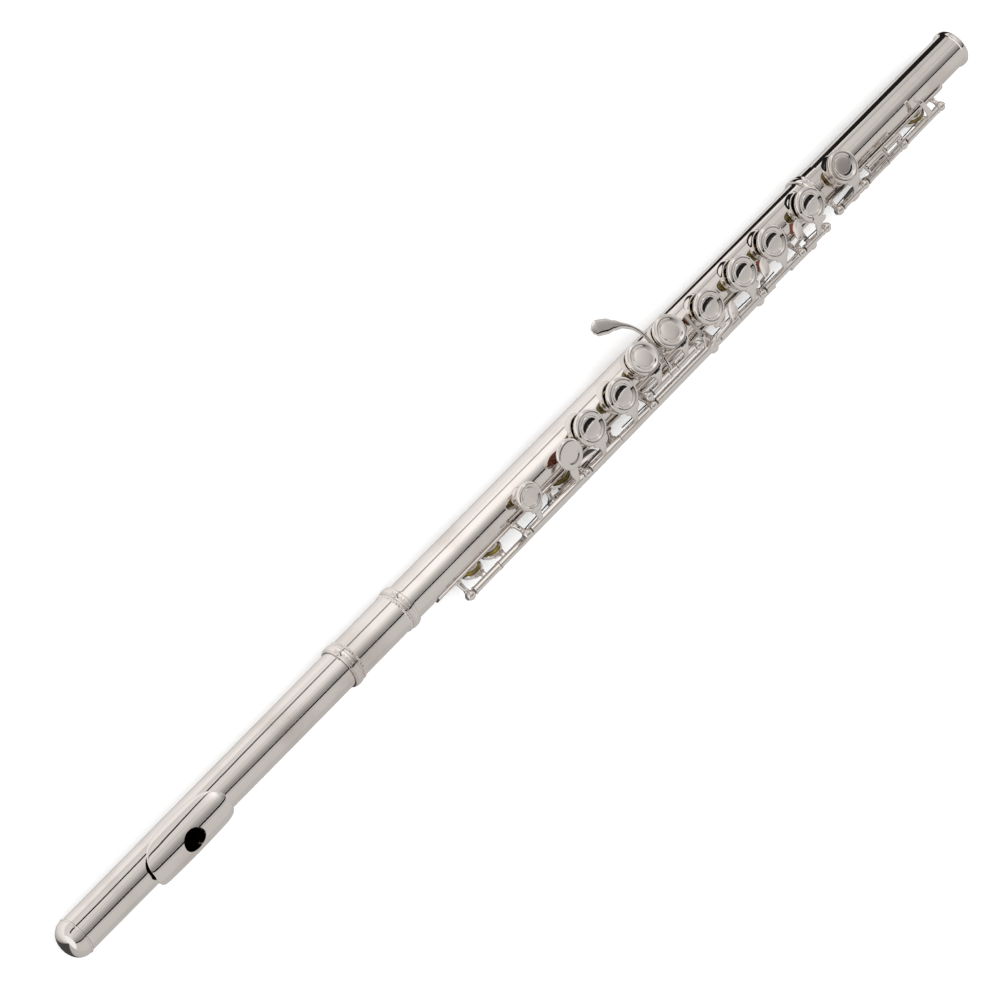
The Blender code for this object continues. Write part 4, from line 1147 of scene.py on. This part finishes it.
@dataclass
class Keywork:
    """All the keys, with the hinge lines, posts and sizes that they share."""

    main_posts: Sequence[float] = (296.0, 340.8, 391.8, 442.2, 479.7, 512.6, 533.3)
    g_posts: Pair = (391.8, 431.4)
    trill_posts: Pair = (256.0, 524.6)
    trill_saddles: Pair = (442.2, 479.7)
    thumb_posts: Pair = (323.0, 369.0)
    foot_posts: Sequence[float] = (548.0, 569.5, 603.1, 636.3)
    play: float = 2.9
    lift: float = 8.5
    thumb_lift: float = -10.0
    touch_z: float = 17.6
    oval_turn: float = 50.0
    lever_x: float = 411.1

    def index_touch(self, shape: Shape, line: Vector) -> None:
        """The first finger's round touch on the C sharp key.

        Args:
            shape: The shape to add it to.
            line: A point on the hinge line.
        """
        top = SEAT + ROOF
        x, r = 336.5, 7.8
        profile = [(0.0, top - 0.3), (3.6, top - 0.28), (4.5, top - 0.2), (4.75, top - 0.05), (5.2, top - 0.02),
                   (6.6, top - 0.08), (7.3, top - 0.4), (7.7, top - 0.95), (r, top - 1.5), (7.6, top - 2.2),
                   (7.0, top - 2.4), (0.0, top - 2.4)]
        place = standing(x, 8.0)
        shape.turned(profile, place, 80, solid=True)
        root = Vector((x - 3.0, line.y, line.z))
        shape.bar([root, (x - 3.0, line.y + 2.6, 12.4), place @ Vector((-2.6, -r - 0.6, top - 1.8)),
                   place @ Vector((-1.0, -r * 0.6, top - 1.3))], (1, 0, 0), [4.0, 3.2, 5.0, 6.4], 1.35)

    def index_felt(self, shape: Shape, _line: Vector) -> None:
        """The thick felt under the first finger's touch."""
        shape.turned([(0.0, 13.75), (4.9, 13.75), (5.3, 13.35), (5.3, 12.2), (4.9, 11.8), (0.0, 11.8)],
                     standing(336.2, 8.0), 40, solid=True)

    def oval(self, shape: Shape, x: float, y: float) -> Matrix:
        """A pointed oval touch with a small ball at its far end; returns its place.

        Args:
            shape: The shape to add it to.
            x: Station along the flute.
            y: Place across the flute.

        Returns:
            The touch's place.
        """
        place = flat(x, y, self.touch_z, self.oval_turn, -14.0)
        shape.plate(place, 10.8, 5.4, 1.3, 0.35, 0.2)
        shape.ball(place @ Vector((4.6, 0, 0.1)), 0.95)
        return place

    def shake_lever(self, shape: Shape, line: Vector) -> None:
        """The B flat shake lever: flat lever, oval touch and the stop that crosses the tube.

        Args:
            shape: The shape to add it to.
            line: A point on the hinge line.
        """
        root = line.x - 3.0
        x, y, z = 455.6, -10.8, self.touch_z
        shape.bar([(root, line.y, line.z), (root + 0.4, -15.2, 14.0), (root + 4.0, -14.6, 16.9), (x - 6.0, -14.2, z),
                   (x - 1.0, y - 0.4, z - 0.2)], (0.8, 0.6, 0), [4.4, 3.4, 2.6, 2.6, 2.6], 1.5)
        shape.bar([(root - 1, line.y, line.z), (root - 0.6, -11.0, 13.4), (root - 0.6, -3.0, 13.4),
                   (root - 0.6, 3.4, 13.0)], (1, 0, 0), [3.2, 2.4, 2.2, 2.2], 1.2)
        self.oval(shape, x, y)

    def shake_corks(self, shape: Shape, line: Vector) -> None:
        """The felt under the stop's tip."""
        shape.block(Matrix.Translation((line.x - 3.6, 1.6, 11.8)), (2.0, 3.4, 1.3), 0.25)

    def trill_arm(self, x: float, y: float) -> Callable[[Shape, Vector], None]:
        """An arm that rises between tube and rods to a trill touch at x, y.

        Args:
            x: Station along the flute.
            y: Place across the flute.

        Returns:
            The function that adds the arm.
        """
        def add(shape: Shape, line: Vector) -> None:
            """Add the arm and its touch.

            Args:
                shape: The shape to add it to.
                line: A point on the hinge line.
            """
            root = x + 2.0
            shape.bar([(root, line.y, line.z), (root, -14.0, 4.6), (root, -12.1, 8.6), (root, -10.6, 12.6),
                       (x + 0.6, y - 0.5, self.touch_z - 0.3)], (1, 0, 0), [4.8, 3.3, 2.6, 2.6, 2.8], 1.5)
            self.oval(shape, x, y)
        return add

    def trill_corks(self, x: float, y: float) -> Callable[[Shape, Vector], None]:
        """The red brown wedges under a trill touch.

        Args:
            x: Station along the flute.
            y: Place across the flute.

        Returns:
            The function that adds the wedges.
        """
        def add(shape: Shape, _line: Vector) -> None:
            """Add both wedges.

            Args:
                shape: The shape to add it to.
                _line: Not used here.
            """
            place = flat(x, y, self.touch_z - 2.0, self.oval_turn)
            shape.block(place @ Matrix.Translation((1.2, 1.5, -0.2)) @ Matrix.Rotation(0.5, 4, "X"),
                        (5.2, 2.2, 2.6), 0.35)
            shape.block(place @ Matrix.Translation((-1.0, -1.6, -0.3)) @ Matrix.Rotation(-0.5, 4, "X"),
                        (4.6, 2.2, 2.4), 0.35)
        return add

    def left_hand(self) -> list[Key]:
        """C sharp, B flat, A, both Gs and G sharp.

        Returns:
            The keys.
        """
        p, play, lift = self.main_posts, self.play, self.lift
        half = 0.15
        middle = (354.0 + 378.4) / 2
        return [
            Key("c_sharp", "c_sharp_key", "c_sharp_hinge", lift, [Cup(306.0, 10, 7.3, 5.0)], ["c_sharp_pad"],
                [(p[0] + play, p[1] - play)], extra=self.index_touch, corks=self.index_felt),
            Key("b_flat", "b_flat_key", "b_flat_hinge", lift, [Cup(354.0, 0, 9.0, 8.2)], ["b_flat_pad"],
                [(p[1] + play, middle - half)]),
            Key("a", "a_key", "a_hinge", lift, [Cup(378.4, 0, 9.0, 8.2)], ["a_pad"],
                [(middle + half, p[2] - play)]),
            Key("g", "g_keys", "g_hinge", lift, [Cup(400.6, -19, 8.9, 8.2), Cup(421.6, -19, 8.9, 8.2)],
                ["upper_g_pad", "lower_g_pad"],
                [(self.g_posts[0] + play, self.lever_x - 2.9), (self.lever_x + 2.9, self.g_posts[1] - play)],
                steel=(self.g_posts[0] - 2, self.g_posts[1] + 2)),
            Key("g_sharp", "g_sharp_key", "g_sharp_hinge", 0.0, (), (), [(self.lever_x - 2.6, self.lever_x + 2.6)],
                extra=self.g_sharp_lever),
        ]

    def g_sharp_lever(self, shape: Shape, line: Vector) -> None:
        """The lever across the tube, its spatula, and the arm round to the cup at the back.

        Args:
            shape: The shape to add it to.
            line: A point on the hinge line.
        """
        g = self.lever_x
        shape.bar([(g, line.y, line.z), (g, -5.0, 13.5), (g, 2.0, 13.9), (g - 0.4, 11.0, 14.0), (g - 2.6, 17.4, 14.5),
                   (g - 6.4, 22.3, 15.0), (g - 10.2, 25.4, 15.2), (g - 14.2, 28.0, 15.2), (g - 18.4, 30.4, 15.2),
                   (g - 20.6, 31.5, 15.1), (g - 21.6, 32.0, 15.0)],
                  (0.5, 0.87, 0), [4.2, 1.9, 1.8, 1.9, 2.1, 3.0, 5.4, 8.0, 8.4, 5.6, 1.6], 1.6, 7, 2.3)
        cup = Cup(421.6, 150.0, 9.0, 8.2)
        cup.add(shape)
        sweep = [(0.0, 62.0, 13.6), (0.15, 84.0, 13.4), (0.5, 104.0, 14.2), (0.9, 117.0, 17.6)]
        way = [around(a, r, g + (cup.x - g) * f) for f, a, r in sweep]
        tip = cup.place() @ Vector((0, cup.radius * 0.7, SEAT + ROOF * 0.55))
        shape.bar([(g, line.y, line.z), *way, tip], (1, 0, 0), [4.4, 3.6, 3.6, 3.8, 5.0, 6.6], 1.4)

    def g_sharp_pad(self) -> None:
        """The pad of the G sharp cup."""
        pad = Shape("g_sharp_pad_surface", Finish.PAD)
        Cup(421.6, 150.0, 9.0, 8.2).add_pad(pad)
        pad.finished("g_sharp", ["g_sharp_pad"])

    def right_hand(self) -> list[Key]:
        """F sharp, F, E, D and the three side levers.

        Returns:
            The keys.
        """
        p, play, lift = self.main_posts, self.play, self.lift
        middle = (446.9 + 474.0) / 2
        return [
            Key("f_sharp", "f_sharp_key", "f_sharp_hinge", lift, [Cup(446.9, 0, 9.0, 8.2)], ["f_sharp_pad"],
                [(p[3] + play, middle - 0.15)], [449.0]),
            Key("f", "f_key", "f_hinge", lift, [Cup(474.0, 0, 9.0, 8.2)], ["f_pad"],
                [(middle + 0.15, p[4] - play)], [472.0]),
            Key("e", "e_key", "e_hinge", lift, [Cup(498.4, 0, 9.0, 8.2)], ["e_pad"], [(p[4] + play, p[5] - play)]),
            Key("d", "d_key", "d_hinge", lift, [Cup(529.6, 0, 9.0, 8.2)], ["d_pad"],
                [(p[5] + play, p[6] - play)], [525.5]),
            Key("b_flat_shake", "b_flat_shake_lever", "b_flat_shake_hinge", 0.0, (), (),
                [(p[2] + play, p[3] - play)], extra=self.shake_lever, corks=self.shake_corks),
            Key("d_trill", "d_trill_key", "d_trill_hinge", 0.0, [Cup(283.4, 118, 6.0, 5.0)], ["d_trill_pad"],
                [(277.4, 492.0)], extra=self.trill_arm(485.3, -6.8), corks=self.trill_corks(485.3, -6.8)),
            Key("d_sharp_trill", "d_sharp_trill_key", "d_sharp_trill_hinge", 0.0, [Cup(269.0, 118, 6.0, 5.0)],
                ["d_sharp_trill_pad"], [(self.trill_posts[0] + play, 277.1), (506.0, self.trill_posts[1] - play)],
                steel=(self.trill_posts[0] - 2, self.trill_posts[1] + 2), extra=self.trill_arm(514.2, -5.6),
                corks=self.trill_corks(514.2, -5.6)),
        ]

    def thumb_touch(self, shape: Shape, line: Vector) -> None:
        """The thumb's touch on the B key."""
        shape.plate(standing(341.5, 128.0, 21.6), 13.0, 10.0, 1.6, 0.0, 0.3)
        shape.bar([(346.5, line.y, line.z), (346.5, -20.2, -7.6), around(121.0, 21.4, 344.5)], (1, 0, 0),
                  [4.8, 4.6, 4.8], 1.4)

    def thumb_lever(self, shape: Shape, line: Vector) -> None:
        """The B flat lever beside it."""
        shape.plate(standing(357.5, 128.0, 21.6), 14.0, 10.0, 1.6, 0.0, 0.3)
        shape.bar([(358.0, line.y, line.z), (358.0, -20.2, -7.6), around(124.0, 21.4, 358.0)], (1, 0, 0),
                  [4.8, 4.6, 5.6], 1.4)

    def foot_touch(self, shape: Shape, line: Vector) -> None:
        """The little finger's D sharp touch.

        Args:
            shape: The shape to add it to.
            line: A point on the hinge line.
        """
        shape.plate(standing(574.0, 112.0, 19.6), 22.0, 9.0, 1.6, 0.0, 0.3)
        shape.bar([(564.6, line.y, line.z), (564.6, -19.2, 1.0), (566.0, -19.4, -4.0), around(112.0, 19.6, 569.0)],
                  (1, 0, 0), [4.2, 4.0, 4.2, 4.8], 1.4)

    def cradle(self, start: float, end: float) -> Callable[[Shape, Vector], None]:
        """A roller's ears, plate, arm and pin.

        Args:
            start: Station where it starts.
            end: Station where it ends.

        Returns:
            The function that adds the cradle.
        """
        def add(shape: Shape, line: Vector) -> None:
            """Add them to the key.

            Args:
                shape: The shape to add it to.
                line: A point on the hinge line.
            """
            y, z = -10.2, 10.4
            back, level = y - 3.4, z + 0.6
            for at in (start - 0.85, end + 0.85):
                shape.bar([(at, back, level), (at, y - 1.0, z + 0.3), (at, y + 1.3, z)], (1, 0, 0), [1.1, 1.1, 1.1],
                          2.7)
            middle = (start + end) / 2
            shape.block(Matrix.Translation((middle, back + 0.05, level)), (end - start + 2.8, 1.35, 1.7), 0.3)
            shape.bar([(middle, line.y, line.z), (middle, (line.y + back) / 2, (line.z + level) / 2 + 0.3),
                       (middle, back - 0.2, level)], (1, 0, 0), [4.6, 4.6, 5.0], 1.4)
            shape.rod(0.6, (start - 1.2, y, z), (end + 1.2, y, z), 16, 0.1)
        return add

    def kicker(self, shape: Shape, line: Vector) -> None:
        """The short stop arm of the low C key, over to the tube's top.

        Args:
            shape: The shape to add it to.
            line: A point on the hinge line.
        """
        self.cradle(590.0, 601.6)(shape, line)
        shape.bar([(625.5, line.y, line.z), (624.6, -13.2, 11.6), (622.6, -6.0, 14.2), (621.4, -2.0, 13.6)], (1, 0, 0),
                  [4.8, 3.5, 2.6, 2.2], 1.5)

    def thumb_and_foot(self) -> list[Key]:
        """The thumb's keys and the foot's keys.

        Returns:
            The keys.
        """
        t, f, play = self.thumb_posts, self.foot_posts, self.play
        return [
            Key("thumb_b", "thumb_b_key", "thumb_b_hinge", self.thumb_lift, [Cup(338.0, 140, 8.4, 7.6)],
                ["thumb_b_pad"],
                [(t[0] + play, 350.85)], extra=self.thumb_touch),
            Key("thumb_b_flat", "thumb_b_flat_lever", "thumb_b_flat_hinge", 0.0, (), (), [(351.15, t[1] - play)],
                extra=self.thumb_lever),
            Key("foot_d_sharp", "foot_d_sharp_key", "foot_d_sharp_hinge", 0.0, [Cup(560.6, 0, 9.0, 8.2)],
                ["foot_d_sharp_pad"], [(f[0] + play, f[1] - play)], extra=self.foot_touch),
            Key("foot_c_sharp", "foot_c_sharp_key", "foot_c_sharp_hinge", 0.0, [Cup(596.0, 135, 8.6, 7.8)],
                ["foot_c_sharp_pad"], [(f[1] + play, 588.35)], [584.0], lean=0.85, extra=self.cradle(574.5, 586.9)),
            Key("foot_c", "foot_c_key", "foot_c_hinge", 0.0, [Cup(629.0, 135, 8.6, 7.8)], ["foot_c_pad"],
                [(588.65, f[2] - play), (f[2] + play, f[3] - play)], steel=(f[1] + 0.2, f[3] + 2), extra=self.kicker),
        ]

    def rollers(self) -> None:
        """Both rollers, waisted slightly, on their pins."""
        for body, start, end in (("c_sharp_roller", 574.5, 586.9), ("c_roller", 590.0, 601.6)):
            shape = Shape(body + "_surface")
            n = end - start
            profile = [(0.9, 0), (1.3, 0), (1.5, 0.25), (1.55, 0.7), (1.5, n / 2), (1.55, n - 0.7), (1.5, n - 0.25),
                       (1.3, n), (0.9, n)]
            shape.turned(profile, along(start, -10.2, 10.4), 36)
            shape.finished(body, [body])

    def ribs(self) -> None:
        """Both ribs with their posts."""
        main, g = hinge_line("a_hinge"), hinge_line("g_hinge")
        trill, thumb, foot = hinge_line("d_trill_hinge"), hinge_line("thumb_b_hinge"), hinge_line("foot_c_hinge")
        Rib("main_rib_surface", "main_rib", "body", 241.5, 536.6,
            [PostRow(main, self.main_posts, 66.0), PostRow(g, self.g_posts, 60.5),
             PostRow(trill, self.trill_posts, 82.0),
             PostRow(trill, self.trill_saddles, 84.0, 3.2, ()), PostRow(thumb, self.thumb_posts, 85.0)]).build()
        Rib("foot_rib_surface", "foot_rib", "foot", 545.2, 646.0, [PostRow(foot, self.foot_posts, 68.0)],
            inner=10.35).build()

    def rods(self) -> None:
        """The fixed steels."""
        for node, body, joint, start, end in (
                ("main_rod", "body", "a_hinge", self.main_posts[0] - 2, self.main_posts[-1] + 2),
                ("thumb_rod", "body", "thumb_b_hinge", self.thumb_posts[0] - 2, self.thumb_posts[1] + 2),
                ("foot_d_sharp_rod", "foot", "foot_c_hinge", self.foot_posts[0] - 2, self.foot_posts[1] - 0.2)):
            line = hinge_line(joint)
            shape = Shape(node + "_surface", Finish.STEEL)
            shape.rod(1.0, (start, line.y, line.z), (end, line.y, line.z))
            shape.finished(body, [node])

    def springs(self) -> None:
        """Needle springs, each from its post along the key's hinge tube."""
        main, foot = hinge_line("a_hinge"), hinge_line("foot_c_hinge")
        for body, line, starts in (("body", main,
                                    [(296.0, 318.0), (340.8, 360.0), (391.8, 372.0), (442.2, 458.0), (479.7, 464.0),
                                                   (479.7, 494.0), (533.3, 519.0)]),
                                   ("foot", foot, [(548.0, 561.0), (603.1, 620.0)])):
            shape = Shape(body + "_needle_springs", Finish.SPRING)
            for start, end in starts:
                shape.rod(0.3, (start, line.y + 2.2, line.z - 1.6), (end, line.y + 2.9, line.z - 1.5), 10, 0.05)
            shape.finished(body)

    def build(self) -> None:
        """Build all the keywork."""
        self.ribs()
        self.rods()
        for key in [*self.left_hand(), *self.right_hand(), *self.thumb_and_foot()]:
            key.build()
        self.g_sharp_pad()
        self.rollers()
        self.springs()


# ---- the studio ------------------------------------------------------------------------------------------
@dataclass
class Panel:
    """A long panel round the flute.

    Its bands go by angle from overhead, the audience's side positive, and its stations lie along the flute.
    """

    name: str
    bands: Sequence[tuple[float, float]]       # angle and brightness, from one edge to the other
    stations: Sequence[tuple[float, float]]    # place along the flute and how much of the brightness is kept there
    distance: float = 1.6


@dataclass
class Studio:
    """A pale floor, soft white light all round, and the grey and dark panels that give the silver its lines."""

    surround: float = 1.0
    floor_size: float = 12.0
    warmth: tuple[float, float, float] = (1.0, 0.972, 0.955)
    panels: Sequence[Panel] = (
        Panel("audience_panel", ((92.0, 0.86), (80.0, 0.9), (66.0, 0.94), (48.0, 0.98), (32.0, 0.96), (20.0, 0.76)),
              ((-2.5, 0.8), (0.3, 0.78), (0.6, 1.15), (0.8, 1.15), (1.1, 0.74), (1.5, 0.66), (4.0, 0.62))),
        Panel("overhead_panel", ((20.0, 0.76), (8.0, 0.54), (-8.0, 0.34), (-17.0, 0.26)),
              ((-2.5, 0.95), (0.3, 0.95), (0.6, 1.15), (0.8, 1.15), (1.1, 0.95), (4.0, 1.0))),
        Panel("black_strip", ((-17.6, 0.015), (-26.4, 0.015)), ((-2.5, 1.0), (4.0, 1.0))),
        Panel("player_panel", ((-27.0, 0.52), (-40.0, 0.62), (-95.0, 0.6)), ((-2.5, 1.0), (4.0, 1.0))))

    def glowing(self, name: str) -> bpy.types.Material:
        """A panel's surface, which shines with the brightness painted on its corners.

        Args:
            name: The panel's name.

        Returns:
            The material.
        """
        material, tree, shader = blank(name)
        paint = add_node(tree, "ShaderNodeVertexColor", {"layer_name": "brightness"})
        shader.inputs["Base Color"].default_value = (0, 0, 0, 1)
        shader.inputs["Specular IOR Level"].default_value = 0.0
        shader.inputs["Emission Strength"].default_value = 1.0
        tree.links.new(paint.outputs["Color"], shader.inputs["Emission Color"])
        return material

    def sheet(self, name: str, rows: Sequence[Sequence[Point]], levels: Sequence[Sequence[float]]) -> bpy.types.Object:
        """A glowing sheet through rows of points in metres, seen only in reflections.

        Args:
            name: The sheet's name.
            rows: Rows with the same number of points.
            levels: The brightness at each point.

        Returns:
            The sheet.
        """
        count = len(rows[0])
        data = bpy.data.meshes.new(name)
        faces = [(i * count + j, i * count + j + 1, (i + 1) * count + j + 1, (i + 1) * count + j)
                 for i in range(len(rows) - 1) for j in range(count - 1)]
        data.from_pydata([tuple(p) for row in rows for p in row], [], faces)
        paint = data.color_attributes.new("brightness", "FLOAT_COLOR", "POINT")
        for corner, level in zip(paint.data, [v for row in levels for v in row]):
            corner.color = (*[level * w for w in self.warmth], 1.0)
        piece = bpy.data.objects.new(name, data)
        bpy.context.scene.collection.objects.link(piece)
        data.materials.append(self.glowing(name))
        piece.visible_camera = piece.visible_diffuse = piece.visible_shadow = False
        return piece

    def hang(self, panel: Panel) -> None:
        """Hang a panel along the flute, its lower edge no lower than the floor.

        Args:
            panel: The panel to hang.
        """
        low = CAD_BOX[0][2] + 0.001
        rows = []
        for angle, _level in panel.bands:
            y = math.sin(math.radians(angle)) * panel.distance + ORIGIN.y
            z = max(math.cos(math.radians(angle)) * panel.distance + ORIGIN.z, low)
            rows.append([(x, y, z) for x, _share in panel.stations])
        self.sheet(panel.name, rows, [[level * share for _x, share in panel.stations] for _a, level in panel.bands])

    def floor(self) -> None:
        """The floor under the flute."""
        s, low = self.floor_size, CAD_BOX[0][2]
        data = bpy.data.meshes.new("floor")
        data.from_pydata([(-s, -s, low), (s, -s, low), (s, s, low), (-s, s, low)], [], [(0, 1, 2, 3)])
        piece = bpy.data.objects.new("floor", data)
        bpy.context.scene.collection.objects.link(piece)
        material, _tree, shader = blank("white_paper")
        shader.inputs["Base Color"].default_value = linear("FAFAFA")
        shader.inputs["Roughness"].default_value = 1.0
        shader.inputs["Specular IOR Level"].default_value = 0.0
        data.materials.append(material)

    def flags(self) -> None:
        """The sheets on the floor, the dark strip under the flute, and the lines on the audience's side, all glowing
        only in reflections: the dark strip is painted shade, the rest painted reflections.
        """
        low = CAD_BOX[0][2] + 0.0006
        y, z = ORIGIN.y, ORIGIN.z
        # painted reflection of the floor, greyer on the player's side, with a near-black band under the flute that is
        # painted shade
        across = [(-1.6, 0.6), (-0.05, 0.54), (-0.021, 0.5), (-0.016, 0.07), (0.004, 0.07), (0.008, 0.5), (0.022, 0.84),
                  (0.06, 1.0), (1.6, 1.0)]
        self.sheet("floor_sheet", [[(-2.5, y + d, low), (4, y + d, low)] for d, _level in across],
                   [[level, level * (0.8 if d > 0 else 1.0)] for d, level in across])
        end = CAD_BOX[1][0]
        # near-black flag beside the foot: a painted dark reflection on the foot's silver
        self.sheet("foot_flag",
                   [[(end - 0.25, y + 0.026, low + 0.001), (end - 0.06, y + 0.026, low + 0.004),
                     (end + 0.12, y + 0.026, low + 0.008)],
                                 [(end - 0.25, y + 0.026, z - 0.006), (end - 0.06, y + 0.026, z + 0.0042),
                                  (end + 0.12, y + 0.026, z + 0.0082)]], [[0.012] * 3] * 2)
        # painted reflection line on the audience's side, nearly black by the crown and brighter towards the foot
        line = [(-1.2, 46.0, 0.015), (0.1, 47.0, 0.015), (0.3, 59.0, 0.05), (0.46, 63.0, 0.3), (0.7, 64.0, 0.45),
                (2.4, 64.0, 0.5)]
        rows = [[(x, y + math.sin(math.radians(a + wide)) * 1.5, z + math.cos(math.radians(a + wide)) * 1.5) for x, a,
                 _level in line]
                for wide in (0.0, 8.0)]
        self.sheet("audience_line", rows, [[level for _x, _a, level in line]] * 2)

    def lights(self) -> None:
        """White surround and one broad soft lamp that the silver doesn't mirror."""
        world = bpy.data.worlds.new("white_surround")
        world.use_nodes = True
        bpy.context.scene.world = world
        world.node_tree.nodes["Background"].inputs["Color"].default_value = linear("FFFFFF")
        world.node_tree.nodes["Background"].inputs["Strength"].default_value = self.surround
        lamp = bpy.data.lights.new("soft_lamp", "AREA")
        lamp.shape, lamp.size, lamp.size_y, lamp.energy = "RECTANGLE", 2.4, 2.4, 40.0
        holder = bpy.data.objects.new("soft_lamp", lamp)
        bpy.context.scene.collection.objects.link(holder)
        holder.location = (-0.3, 0.25, 2.2)
        holder.rotation_euler = (Vector((0, 0, 0)) - holder.location).to_track_quat("-Z", "Y").to_euler()
        holder.visible_glossy = False

    def camera(self) -> None:
        """The camera: beyond the crown's end and well above, its picture's diagonal along the flute."""
        data = bpy.data.cameras.new("camera")
        data.lens, data.sensor_width = 119.0, 36.0
        data.clip_end = 50.0
        holder = bpy.data.objects.new("camera", data)
        bpy.context.scene.collection.objects.link(holder)
        holder.location = ORIGIN + Vector((-368.0, 282.1, 1386.6)) * MM
        holder.rotation_euler = [math.radians(a) for a in (10.193, -25.803, -45.148)]
        bpy.context.scene.camera = holder

    def build(self) -> None:
        """Set the whole studio."""
        self.floor()
        for panel in self.panels:
            self.hang(panel)
        self.flags()
        self.lights()
        self.camera()
        bpy.context.scene.view_settings.view_transform = "Standard"


def dress_frame() -> None:
    """Give the inner nodes that stay their finishes."""
    for node, finish in (("stopper_screw", Finish.SILVER), ("stopper_nut", Finish.SILVER),
                         ("stopper_cork", Finish.CORK)):
        data = frame["nodes"][node].data
        data.materials.clear()
        data.materials.append(material_of(finish))


def main() -> None:
    """Build the flute and its studio."""
    logging.basicConfig(level=logging.INFO, format="%(message)s")
    HeadJoint().build()
    body_holes = [ToneHole(306.0, 10, 3.8), ToneHole(354.0, 0, 7.0), ToneHole(378.4, 0, 7.0), ToneHole(400.6, -19, 7.0),
                  ToneHole(421.6, -19, 7.0), ToneHole(446.9, 0, 7.0), ToneHole(474.0, 0, 7.0), ToneHole(498.4, 0, 7.0),
                  ToneHole(529.6, 0, 7.0), ToneHole(338.0, 140, 6.4), ToneHole(421.6, 150, 7.0),
                  ToneHole(283.4, 118, 3.8),
                  ToneHole(269.0, 118, 3.8)]
    foot_holes = [ToneHole(560.6, 0, 7.0), ToneHole(596.0, 135, 6.6), ToneHole(629.0, 135, 6.6)]
    Tubes(body_holes=body_holes, foot_holes=foot_holes).build()
    Keywork().build()
    dress_frame()
    Studio().build()
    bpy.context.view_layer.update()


if __name__ == "__main__":
    main()
